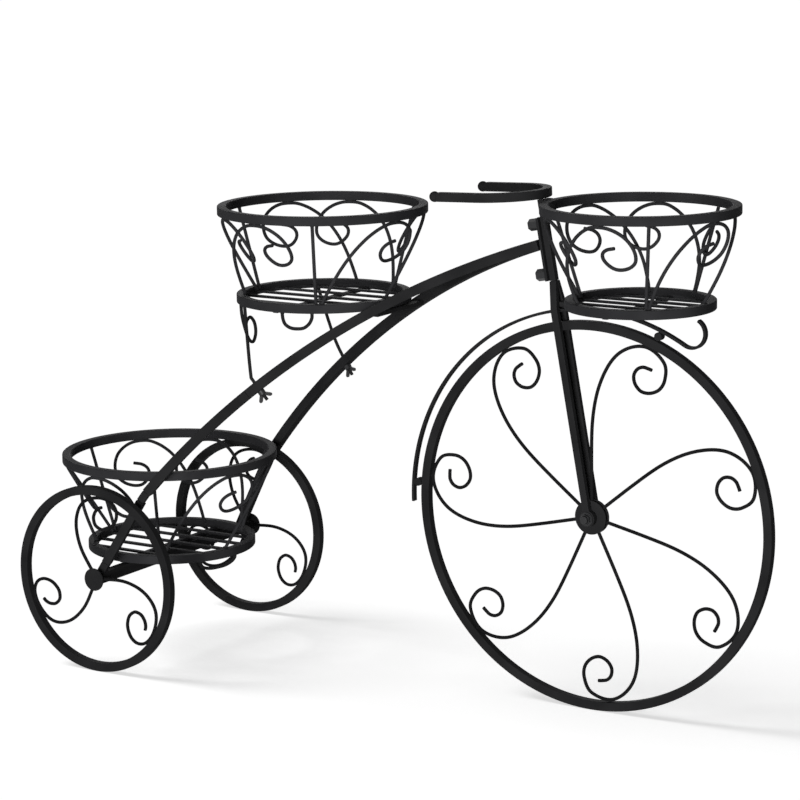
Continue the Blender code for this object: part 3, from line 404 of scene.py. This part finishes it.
def grown(mesh, tree, **sizes):
    """The plain mesh that a tree makes from a line, a shape or points."""
    holder = bpy.data.objects.new("holder", mesh)
    bpy.context.scene.collection.objects.link(holder)
    modifier = holder.modifiers.new("tree", "NODES")
    modifier.node_group = tree
    for item in tree.interface.items_tree:
        label = item.name.lower().replace(" ", "_")
        if item.in_out == "INPUT" and label in sizes:
            modifier[item.identifier] = sizes[label]
    depsgraph = bpy.context.evaluated_depsgraph_get()
    made = bpy.data.meshes.new_from_object(holder.evaluated_get(depsgraph), depsgraph=depsgraph)
    bpy.data.objects.remove(holder)
    return made


def bars(routes, wide=bar, deep=bar, corner=bar_corner, closed=False):
    """Rectangular bars along routes, with rounded corners."""
    return grown(
        lines(routes, closed), bar_tree, wide=wide, deep=deep, corner=corner,
        corner_steps=corner_steps, round=False, sides=wire_sides, finish=coat,
    )


def wires(routes, thick=wire):
    """Round wires along routes."""
    return grown(
        lines(routes), bar_tree, wide=thick, deep=thick, corner=0.0, corner_steps=1, round=True,
        sides=wire_sides, finish=coat,
    )


def welds(points, size=weld_size, seed=weld_seed):
    """A weld bead on each point."""
    return grown(lines([[point] for point in points]), weld_tree, size=size, seed=seed, finish=coat)


def polar(radius, degrees, height=0.0):
    """A point at a radius and a turn about Z."""
    angle = math.radians(degrees)
    return Vector((radius * math.cos(angle), radius * math.sin(angle), height))


def ring_route(radius, height, steps, matrix=Matrix()):
    """A closed ring about Z, moved by a matrix."""
    return [matrix @ polar(radius, 360 * i / steps, height) for i in range(steps)]


def smooth_route(points, parts=route_parts):
    """A smooth curve through the given points, as close points."""
    points = [Vector(point) for point in points]
    ends = [2 * points[0] - points[1], *points, 2 * points[-1] - points[-2]]
    route = []
    for i in range(1, len(ends) - 2):
        before, start, end, after = ends[i - 1:i + 3]
        for step in range(parts):
            t = step / parts
            route.append(
                0.5 * (
                    2 * start
                    + (end - before) * t
                    + (2 * before - 5 * start + 4 * end - after) * t * t
                    + (3 * start - before - 3 * end + after) * t * t * t
                )
            )
    route.append(points[-1])
    return route


def turned(profile, steps, matrix):
    """A closed profile of (radius, height), turned about Z and moved by a matrix."""
    shape = bmesh.new()
    corners = [shape.verts.new((radius, 0, height)) for radius, height in profile]
    edges = [shape.edges.new(pair) for pair in zip(corners, corners[1:] + corners[:1])]
    bmesh.ops.spin(
        shape, geom=corners + edges, cent=(0, 0, 0), axis=(0, 0, 1), angle=math.tau, steps=steps,
        use_merge=True,
    )
    bmesh.ops.remove_doubles(shape, verts=shape.verts, dist=merge_distance)
    bmesh.ops.dissolve_degenerate(shape, edges=shape.edges, dist=least_edge)
    mesh = bpy.data.meshes.new("turned")
    shape.to_mesh(mesh)
    shape.free()
    mesh.transform(matrix)
    return mesh


def from_frame(*nodes):
    """The solids of some nodes as one clean mesh, with their flat faces whole again."""
    shape = bmesh.new()
    for node in nodes:
        shape.from_mesh(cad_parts[node].data)
    bmesh.ops.remove_doubles(shape, verts=shape.verts, dist=merge_distance)
    bmesh.ops.dissolve_limit(
        shape, angle_limit=math.radians(2), verts=shape.verts, edges=shape.edges
    )
    mesh = bpy.data.meshes.new("solid")
    shape.to_mesh(mesh)
    shape.free()
    return mesh


def piece(name, meshes, nodes, body, material=coat, edge=cut_edge):
    """One piece of the given meshes, with eased edges, that stands for some nodes."""
    shape = bmesh.new()
    for mesh in meshes:
        shape.from_mesh(mesh)
    bmesh.ops.recalc_face_normals(shape, faces=shape.faces)
    joined = bpy.data.meshes.new(name)
    shape.to_mesh(joined)
    shape.free()
    joined.shade_smooth()
    joined.materials.clear()
    joined.materials.append(material)
    holder = bpy.data.objects.new("holder", joined)
    bpy.context.scene.collection.objects.link(holder)
    if edge:
        bevel = holder.modifiers.new("edges", "BEVEL")
        bevel.width = edge
        bevel.segments = edge_segments
        bevel.limit_method = "ANGLE"
        bevel.angle_limit = math.radians(42)
    normals = holder.modifiers.new("flat_faces", "WEIGHTED_NORMAL")
    normals.mode = "FACE_AREA"
    depsgraph = bpy.context.evaluated_depsgraph_get()
    mesh = bpy.data.meshes.new_from_object(holder.evaluated_get(depsgraph), depsgraph=depsgraph)
    bpy.data.objects.remove(holder)
    made = bpy.data.objects.new(name, mesh)
    bpy.context.scene.collection.objects.link(made)
    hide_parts(*nodes)
    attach(made, body)
    return made


def scrolled_spoke(core, touch, shares, turn):
    """A spoke in the wheel's plane, and the place where it lies against the rim."""
    start = (core + gap) / touch
    route = smooth_route([(start, shares[0][1], 0), *((r, a, 0) for r, a in shares)])
    widest = max(range(len(route)), key=lambda i: route[i].x)
    scale = touch / route[widest].x
    points = [polar(share * scale, turn + degrees) for share, degrees, _ in route]
    return [Vector((point.x, 0, point.y)) for point in points], widest


def wheel_spokes(core, touch, shares, turn, count):
    """All the spokes of a wheel with their welds, about the origin."""
    route, widest = scrolled_spoke(core, touch, shares, turn)
    outer = route[widest] * ((touch + wire_r) / touch)
    one = bmesh.new()
    for mesh in (wires([route]), welds([route[0], outer], spoke_weld)):
        one.from_mesh(mesh)
    spoke = bpy.data.meshes.new("spoke")
    one.to_mesh(spoke)
    one.free()
    return grown(spoke, round_tree, count=count, finish=coat)


def placed(mesh, place):
    """The mesh, moved to a place."""
    mesh.transform(Matrix.Translation(place))
    return mesh


upright = Matrix.Rotation(math.radians(90), 4, "X")
on_front_axle = Matrix.Translation(front_axle) @ upright
rim_line = ring_route(front_rim_r - bar / 2, 0, front_rim_steps, on_front_axle)
piece("front_wheel_rim", [bars([rim_line], closed=True)], ["front_rim"], "front_wheel")
disc_in = wire_r + gap
disc_out = disc_in + hub_disc
hub_profile = (
    (hub_sleeve_r, front_hub_end), (hub_sleeve_r, disc_out), (hub_disc_r, disc_out),
    (hub_disc_r, disc_in), (hub_core_r, disc_in), (hub_core_r, -disc_in),
    (hub_disc_r, -disc_in), (hub_disc_r, -disc_out), (hub_sleeve_r, -disc_out),
    (hub_sleeve_r, -front_hub_end), (hub_bore, -front_hub_end), (hub_bore, front_hub_end),
)
piece(
    "front_wheel_hub", [turned(hub_profile, hub_steps, on_front_axle)], ["front_hub"], "front_wheel",
)
front_touch = front_rim_r - bar - wire_r - gap
spokes = wheel_spokes(
    hub_core_r, front_touch, front_spoke_shares, front_spoke_start, front_spokes
)
piece(
    "front_wheel_scrolls", [placed(spokes, front_axle)],
    [f"front_spoke_{i + 1}" for i in range(front_spokes)], "front_wheel", wire_coat_painted_shade,
)

# Rear wheels: smaller hoops of the same bar, each with three scrolled spokes, and a hub
# whose pressed round cap hides the end of the axle.
rear_rim_r = 0.1035
rear_axle = Vector((-0.30885, 0, rear_rim_r))
rear_wheel_y = 0.1439
rear_rim_steps = 112
rear_spokes = 3
rear_spoke_start = 86.1
rear_spoke_shares = (
    (0.329, 37.5), (0.561, 32.4), (0.769, 24.7), (0.924, 14.6), (0.992, 1.2), (0.992, -10.1),
    (0.916, -17.0), (0.796, -18.9), (0.68, -15.1), (0.62, -6.1), (0.649, 2.7), (0.732, 5.2),
    (0.81, 3.3), (0.864, -0.1), (0.888, -3.4),
)
rear_hub_r = 0.006
rear_bore = 0.0033
rear_hub_in = 0.0055
rear_hub_out = 0.0035
rear_cap_r = 0.0125
rear_cap_top = 0.006
cap_shares = ((0.0, 1.0), (0.86, 0.99), (0.94, 0.93), (0.98, 0.82), (1.0, 0.66))
cap_profile = [
    (rear_cap_r * across, rear_hub_out + (rear_cap_top - rear_hub_out) * up)
    for across, up in cap_shares
]
cap_profile += [
    (rear_cap_r, rear_hub_out), (rear_hub_r, rear_hub_out), (rear_hub_r, -rear_hub_in),
    (rear_bore, -rear_hub_in), (rear_bore, rear_hub_out), (0, rear_hub_out),
]
rear_touch = rear_rim_r - bar - wire_r - gap
for side, sign in (("left", 1), ("right", -1)):
    wheel_place = rear_axle + Vector((0, sign * rear_wheel_y, 0))
    on_axle = Matrix.Translation(wheel_place) @ upright
    body = f"rear_wheel_{side}"
    rim_line = ring_route(rear_rim_r - bar / 2, 0, rear_rim_steps, on_axle)
    piece(f"rear_wheel_rim_{side}", [bars([rim_line], closed=True)], [f"rear_rim_{side}"], body)
    outward = on_axle if sign < 0 else on_axle @ Matrix.Rotation(math.pi, 4, "X")
    piece(
        f"rear_wheel_hub_{side}", [turned(cap_profile, hub_steps, outward)], [f"rear_hub_{side}"],
        body,
    )
    spokes = wheel_spokes(rear_hub_r, rear_touch, rear_spoke_shares, rear_spoke_start, rear_spokes)
    piece(
        f"rear_wheel_scrolls_{side}", [placed(spokes, wheel_place)],
        [f"rear_spoke_{side}_{i + 1}" for i in range(rear_spokes)], body, wire_coat_painted_shade,
    )

# Fork: two flat steel legs, sawn and bent in to meet above the fender, each with a pressed
# eye at its foot. A hexagon bolt through the eyes and the hub carries the wheel.
leg_edge = 0.0008

# Black oxide steel: bolts, nuts and wing nuts, machined or cast and then blackened. They look
# darker and a little glossier than the coat, with fine turning marks.
steel_black = "1D1E20"
steel_grey = "2D2D2E"
steel_specular = 0.3
steel_rough = (0.34, 0.5)
marks_mm = 0.5  # real marks are about 0.1 mm apart, too fine to show
marks_detail = 2.0
marks_strength = 0.3
hardware = bpy.data.materials.new("black_oxide_steel")
hardware.use_nodes = True
tree = hardware.node_tree
shader = tree.nodes["Principled BSDF"]
shader.inputs["Specular IOR Level"].default_value = steel_specular
where = add_node(tree, "ShaderNodeTexCoord").outputs["Object"]
marks = add_node(tree, "ShaderNodeTexNoise", {
    "Vector": where, "Scale": 1000 / marks_mm, "Detail": marks_detail,
})
shade = add_node(tree, "ShaderNodeMix", {
    "Factor": marks.outputs[0], "A": linear(steel_black), "B": linear(steel_grey),
}, data_type="RGBA")
gloss = add_node(tree, "ShaderNodeMapRange", {
    "Value": marks.outputs[0], "To Min": steel_rough[0], "To Max": steel_rough[1],
})
bump = add_node(tree, "ShaderNodeBump", {
    "Height": marks.outputs[0], "Strength": marks_strength, "Distance": peel_depth,
})
tree.links.new(shade.outputs["Result"], shader.inputs["Base Color"])
tree.links.new(gloss.outputs[0], shader.inputs["Roughness"])
tree.links.new(bump.outputs[0], shader.inputs["Normal"])


def fastener(name, node, body="frame", edge=cut_edge):
    """A bolt or nut of blackened steel in the place of its node."""
    piece(name, [from_frame(node)], [node], body, hardware, edge)


for side in ("left", "right"):
    node = f"fork_leg_{side}"
    piece(f"fork_leg_bar_{side}", [from_frame(node)], [node], "frame", edge=leg_edge)
fastener("axle_hexagon_bolt", "axle_bolt")
fastener("axle_hexagon_nut", "axle_nut")

# Head: a slanted bar above the fork with a flat plate behind it, held by two hexagon bolts.
# A short tab is welded between its top and the front basket.
head_edge = 0.0007
piece("head_slanted_bar", [from_frame("head_bar")], ["head_bar"], "frame", edge=head_edge)
piece("head_flat_plate", [from_frame("head_plate")], ["head_plate"], "frame")
piece("front_basket_weld_tab", [from_frame("front_basket_tab")], ["front_basket_tab"], "frame")
fastener("head_upper_hexagon_bolt", "head_bolt_upper")
fastener("head_lower_hexagon_bolt", "head_bolt_lower")

# Handlebar: one length of the square bar, bent round to a U. It is welded to the head's top and
# falls a little towards its two ends, each closed by a cast ball.
handle_z = 0.53727
handle_head_x = 0.170904
handle_half = 0.0485
handle_long = 0.0941
handle_fall = 0.033  # of its length, from the bend down towards the balls
handle_steps = 56
knob_r = 0.0056
knob_flat_share = 0.72
knob_rings = 14
knob_steps = 32
handle_bend_x = handle_head_x - handle_half
handle_back_x = handle_head_x - handle_long
handle_route = [Vector((handle_back_x, -handle_half, handle_z))]
for i in range(handle_steps + 1):
    bent = polar(handle_half, -90 + 180 * i / handle_steps, handle_z)
    handle_route.append(bent + Vector((handle_bend_x, 0, 0)))
handle_route.append(Vector((handle_back_x, handle_half, handle_z)))
for point in handle_route:
    point.z -= (handle_head_x - point.x) * handle_fall
piece("handlebar_square_bar", [bars([handle_route])], ["handlebar"], "frame")
knob_flat = knob_r * knob_flat_share
flat_angle = math.degrees(math.acos(knob_flat_share))
knob_profile = [(0, knob_flat)]
for i in range(knob_rings + 1):
    lean = flat_angle + (180 - flat_angle) * i / knob_rings
    knob_profile.append(
        (knob_r * math.sin(math.radians(lean)), knob_r * math.cos(math.radians(lean)))
    )
knob_profile[-1] = (0, -knob_r)
forward = Matrix.Rotation(math.radians(90), 4, "Y")
for side, sign in (("left", 1), ("right", -1)):
    knob_place = Vector((handle_back_x - gap - knob_flat, sign * handle_half, handle_route[0].z))
    knob = turned(knob_profile, knob_steps, Matrix.Translation(knob_place) @ forward)
    piece(f"handlebar_ball_{side}", [knob], [f"handle_knob_{side}"], "frame")

# Fender: a long strip rolled over the front wheel and curled up at its front end. Two short
# round spacers are welded under it, and a bridge on top of it carries the front basket.
fender_in = 0.2147
fender_thick = 0.003
fender_wide = 0.0065
fender_corner = 0.0006
fender_back = 181.9
fender_front = 60.5
fender_step = 1.5
fender_curl_r = 0.0152
curl_step = 6
curl_end = 180
fender_middle = fender_in + fender_thick / 2
fender_count = round((fender_back - fender_front) / fender_step)
flat_route = [
    polar(fender_middle, fender_back + (fender_front - fender_back) * i / fender_count)
    for i in range(fender_count + 1)
]
curl_centre = flat_route[-1] + polar(fender_curl_r, fender_front)
flat_route += [
    curl_centre + polar(fender_curl_r, fender_front - 180 + turn)
    for turn in range(curl_step, curl_end + curl_step, curl_step)
]
fender_route = [front_axle + Vector((point.x, 0, point.y)) for point in flat_route]
strip = bars([fender_route], wide=fender_wide, deep=fender_thick, corner=fender_corner)
piece("fender_rolled_strip", [strip], ["fender_strip"], "frame")
for i in (1, 2):
    node = f"fender_spacer_{i}"
    piece(f"fender_round_spacer_{i}", [from_frame(node)], [node], "frame")
piece("fender_flat_bridge", [from_frame("fork_bridge")], ["fork_bridge"], "frame")

# Rear frame: two arches of 10.5 mm square bar run from the head down to the knees, each in two
# lengths, and an arm goes on down to the axle beam. Welded joint blocks fill the knees.
arch_bar = 0.0105
arch_head = Vector((0.170822, 0.00625, 0.485056))
knee = Vector((-0.25935, 0.119, 0.196))
arch_rise = 0.0375
arch_seam_share = 0.68
arch_room = 0.00672  # from the knee to the end of the lower length
arch_steps = 64
beam_edge = 0.0008


def arch_point(share, sign=1):
    """A place on a rear arch, from the head at 0 to the knee at 1, and its underside."""
    chord = knee - arch_head
    heading = chord.normalized()
    half = chord.length / 2
    radius = (half * half + arch_rise * arch_rise) / (2 * arch_rise)
    spread = math.asin(half / radius)
    flat = Vector((chord.x, chord.y, 0)).normalized()
    rise = (Vector((0, 0, 1)) - heading * heading.z).normalized()
    centre = (arch_head + knee) / 2 - rise * (radius - arch_rise)
    angle = spread * (2 * share - 1)
    point = centre + heading * radius * math.sin(angle) + rise * radius * math.cos(angle)
    along = heading * math.cos(angle) - rise * math.sin(angle)
    normal = along.cross(flat.cross(Vector((0, 0, 1)))).normalized()
    if normal.z > 0:
        normal = -normal
    flip = Vector((1, sign, 1))
    return point * flip, normal * flip


arch_length = (knee - arch_head).length
seam_share = gap / arch_length
for side, sign in (("left", 1), ("right", -1)):
    for part, first, final in (
        ("upper", 0, arch_seam_share - seam_share / 2),
        ("lower", arch_seam_share + seam_share / 2, 1 - arch_room / arch_length),
    ):
        steps = round(arch_steps * (final - first))
        route = [arch_point(first + (final - first) * i / steps, sign)[0] for i in range(steps + 1)]
        piece(
            f"rear_arch_{part}_{side}", [bars([route], arch_bar, arch_bar)],
            [f"arch_{part}_{side}"], "frame",
        )
    for name, node in (("knee_block", "knee_joint"), ("rear_arm_bar", "rear_arm")):
        piece(
            f"{name}_{side}", [from_frame(f"{node}_{side}")], [f"{node}_{side}"], "frame",
            edge=beam_edge,
        )
piece("rear_axle_beam", [from_frame("axle_beam")], ["axle_beam"], "frame", edge=beam_edge)
piece("arch_cross_bar", [from_frame("cross_brace")], ["cross_brace"], "frame", edge=beam_edge)

# Baskets: a square bar ring at the top and one at the bottom, joined by round rods and by
# flat wire scrolls. Five slats and a cross bar under them make the floor, all welded.
ring_steps = 128
scroll_parts = 8
sink = 0.0006  # how far a welded wire sinks into the ring that it stands in
rod_foot = 0.004
basket_weld = 0.004988
slat_wide = 0.006
slat_thick = 0.0024
slat_corner = 0.0005
slat_down = 0.0052
slat_end = 0.0015
slat_shares = (-0.667, -0.333, 0.0, 0.333, 0.667)
cross_thick = 0.0034
cross_share = 0.985
stem_shares = (
    (1.0, 0), (0.985, 0.12), (0.94, 0.32), (0.885, 0.47), (0.81, 0.60), (0.71, 0.72),
    (0.575, 0.83), (0.45, 0.90), (0.325, 0.95), (0.17, 0.99),
)
curl_shares = (
    (0, 1.0), (0.10, 0.99), (0.195, 0.95), (0.277, 0.88), (0.326, 0.79), (0.342, 0.69),
    (0.32, 0.60), (0.255, 0.535), (0.168, 0.50), (0.087, 0.50), (0.022, 0.54), (-0.022, 0.61),
    (-0.016, 0.68), (0.038, 0.73), (0.13, 0.755),
)
baskets = {
    "front_basket": dict(
        x=0.28474, bottom=0.436993, top=0.532993, top_r=0.1017, bottom_r=0.0769,
        rods=(62.5, 182.5, 302.5), scrolls=(64.5, 110, 184.5, 231, 304.5, 364.5), reach=41,
        bow=0.0073,
    ),
    "middle_basket": dict(
        x=-0.099019, bottom=0.416733, top=0.511733, top_r=0.1134, bottom_r=0.0944,
        rods=(58, 181, 298), scrolls=(60.5, 97.5, 184, 216, 301, 352), reach=47, bow=0,
    ),
    "rear_basket": dict(
        x=-0.31295, bottom=0.1202, top=0.2199, top_r=0.1207, bottom_r=0.0943,
        rods=(56, 178, 298), scrolls=(59, 100, 181, 220, 300, 350), reach=43.5, bow=0,
    ),
}


def flat_scroll(foot, top, ahead, bow):
    """A scroll from its foot up to its top, in the plane that holds both and the way ahead."""
    back = (top - foot).dot(ahead)
    slope = top - foot - ahead * back
    sides = [(-back * across - 4 * bow * up * (1 - up), up, 0) for across, up in stem_shares]
    sides += [(across * slope.length, up, 0) for across, up in curl_shares]
    route = smooth_route(sides, scroll_parts)
    highest = max(point.y for point in route)
    return [top + ahead * across + slope * (up / highest - 1) for across, up, _ in route]


for name, basket in baskets.items():
    middle = Vector((basket["x"], 0, 0))
    centred = Matrix.Translation(middle)
    top, bottom = basket["top"], basket["bottom"]
    ring = ring_route(basket["top_r"] - bar / 2, top - bar / 2, ring_steps, centred)
    piece(
        f"{name}_hoop", [bars([ring], closed=True)], [f"{name}_top_ring"], "frame", basket_coat_painted_sheen,
    )
    inside = basket["bottom_r"] - bar
    low_ring = ring_route(basket["bottom_r"] - bar / 2, bottom - bar / 2, ring_steps, centred)
    foot_r = inside - wire_r + sink
    foot_z = bottom - rod_foot
    head_r = basket["top_r"] - bar / 2
    head_z = top - bar - gap
    rise = Vector((0, 0, wire_r))
    routes, beads = [], []
    for turn in basket["rods"]:
        foot, head = polar(foot_r, turn, foot_z), polar(head_r, turn, head_z)
        end = foot + (head - foot) * ((head_z - wire_r / 2 - foot_z) / (head_z - foot_z))
        routes.append([middle + foot, middle + end])
        beads += [middle + polar(inside, turn, bottom - wire_r / 2), middle + head]
    for turn in basket["scrolls"]:
        over = turn + basket["reach"]
        foot, head = polar(foot_r, turn, foot_z), polar(head_r, over, head_z - wire_r)
        route = flat_scroll(foot, head, polar(1, over + 90), basket["bow"])
        routes.append([middle + point for point in route])
        beads += [middle + polar(inside, turn, bottom - wire_r / 2), middle + head + rise]
    slats = []
    slat_z = bottom - slat_down - slat_thick / 2
    for share in slat_shares:
        y = share * inside
        reach = math.sqrt(inside * inside - y * y) + slat_end
        slats.append([middle + Vector((-reach, y, slat_z)), middle + Vector((reach, y, slat_z))])
    cross_z = bottom - slat_down - slat_thick + sink - cross_thick / 2
    reach = basket["bottom_r"] * cross_share
    cross = [middle + Vector((0, -reach, cross_z)), middle + Vector((0, reach, cross_z))]
    piece(
        f"{name}_wirework",
        [
            bars([low_ring], closed=True), wires(routes),
            bars(slats, wide=slat_wide, deep=slat_thick, corner=slat_corner),
            bars([cross], wide=slat_wide, deep=cross_thick, corner=slat_corner),
            welds(beads, basket_weld),
        ],
        [f"{name}_cage"], "frame", basket_coat_painted_sheen,
    )

# Middle basket's legs: bent round wires, welded under its ring, whose threaded ends pass
# through the arches and are held below by cast wing nuts.
leg_ring_turn = 232
stud_share = 0.655
leg_bend = 0.006
stud_room = 0.0125
leg_shares = ((0.24, 0.20), (0.48, 0.42), (0.73, 0.66), (0.90, 0.86))
hang_share = 1.5  # of the wire's radius, how deep a hung route starts to curve
wing_edge = 0.0006
middle_basket = baskets["middle_basket"]
under_ring = middle_basket["bottom"] - bar - gap
ring_middle = middle_basket["bottom_r"] - bar / 2


def hung(route, both=True):
    """A route whose ends leave what carries them straight down for the wire's radius."""
    deep = route[0].z - hang_share * wire_r
    drop = Vector((0, 0, wire_r))
    middle = [point for point in route[1:-1] if point.z < deep]
    if both:
        return [route[0], route[0] - drop, *middle, route[-1] - drop, route[-1]]
    return [route[0], route[0] - drop, *middle, route[-1]]


for side, sign in (("left", 1), ("right", -1)):
    hole, normal = arch_point(stud_share, sign)
    entry = hole - normal * (arch_bar / 2 + leg_bend)
    start = polar(ring_middle, leg_ring_turn, under_ring) * Vector((1, -sign, 1))
    start.x += middle_basket["x"]
    points = [start]
    for down, along in leg_shares:
        points.append(Vector((
            start.x + (entry.x - start.x) * along, start.y + (entry.y - start.y) * along,
            start.z + (entry.z - start.z) * down,
        )))
    route = smooth_route([*points, entry]) + [hole, hole + normal * (arch_bar / 2 + stud_room)]
    leg = [wires([hung(route, False)]), welds([start])]
    piece(f"middle_basket_leg_{side}", leg, [f"basket_leg_{side}"], "frame")
    fastener(f"cast_wing_nut_{side}", f"wing_nut_{side}", f"wing_nut_{side}", wing_edge)

# Hanging wires: a loop and a scroll under the middle basket, and a loop under the rear one,
# of the same thin wire, welded to the undersides of the bottom rings.
loop_shares = (
    (0.0, 0.0), (0.02, 0.40), (0.10, 0.75), (0.28, 0.96), (0.5, 1.0),
    (0.72, 0.93), (0.90, 0.65), (0.99, 0.30), (1.0, 0.0),
)
hanging_loops = (("middle_basket", (274.2, 295.5), 0.0168), ("rear_basket", (327, 358), 0.0105))
for name, turns, drop in hanging_loops:
    basket = baskets[name]
    level = basket["bottom"] - bar - gap
    first, last = (polar(basket["bottom_r"] - bar / 2, turn, level) for turn in turns)
    first.x += basket["x"]
    last.x += basket["x"]
    points = [
        first + (last - first) * along - Vector((0, 0, drop * down)) for along, down in loop_shares
    ]
    route = hung(smooth_route(points))
    piece(
        f"{name}_hanging_loop", [wires([route]), welds([first, last], basket_weld)],
        [f"{name}_loop"], "frame",
    )
hanging_turn = 190
hanging_out = 0.086
hanging_drop = 0.048
hanging_start = 0.028
hanging_wide = 0.036
hanging_shares = (
    (0.0, 0.0), (0.01, 0.14), (-0.05, 0.38), (-0.24, 0.68), (-0.50, 0.96), (-0.80, 1.04),
    (-0.98, 0.86), (-0.90, 0.62), (-0.62, 0.46), (-0.36, 0.52), (-0.30, 0.66),
)
outward = polar(1, hanging_turn)
sideways = Vector((-outward.y, outward.x, 0))
origin = Vector((middle_basket["x"], 0, under_ring)) + outward * hanging_out
points = [
    origin + sideways * (hanging_start + hanging_wide * wide) - Vector((0, 0, hanging_drop * down))
    for wide, down in hanging_shares
]
route = hung(smooth_route(points), False)
piece(
    "middle_basket_hanging_scroll", [wires([route]), welds([points[0]], basket_weld)],
    ["middle_basket_scroll"], "frame",
)

bpy.context.scene.view_settings.view_transform = "Standard"
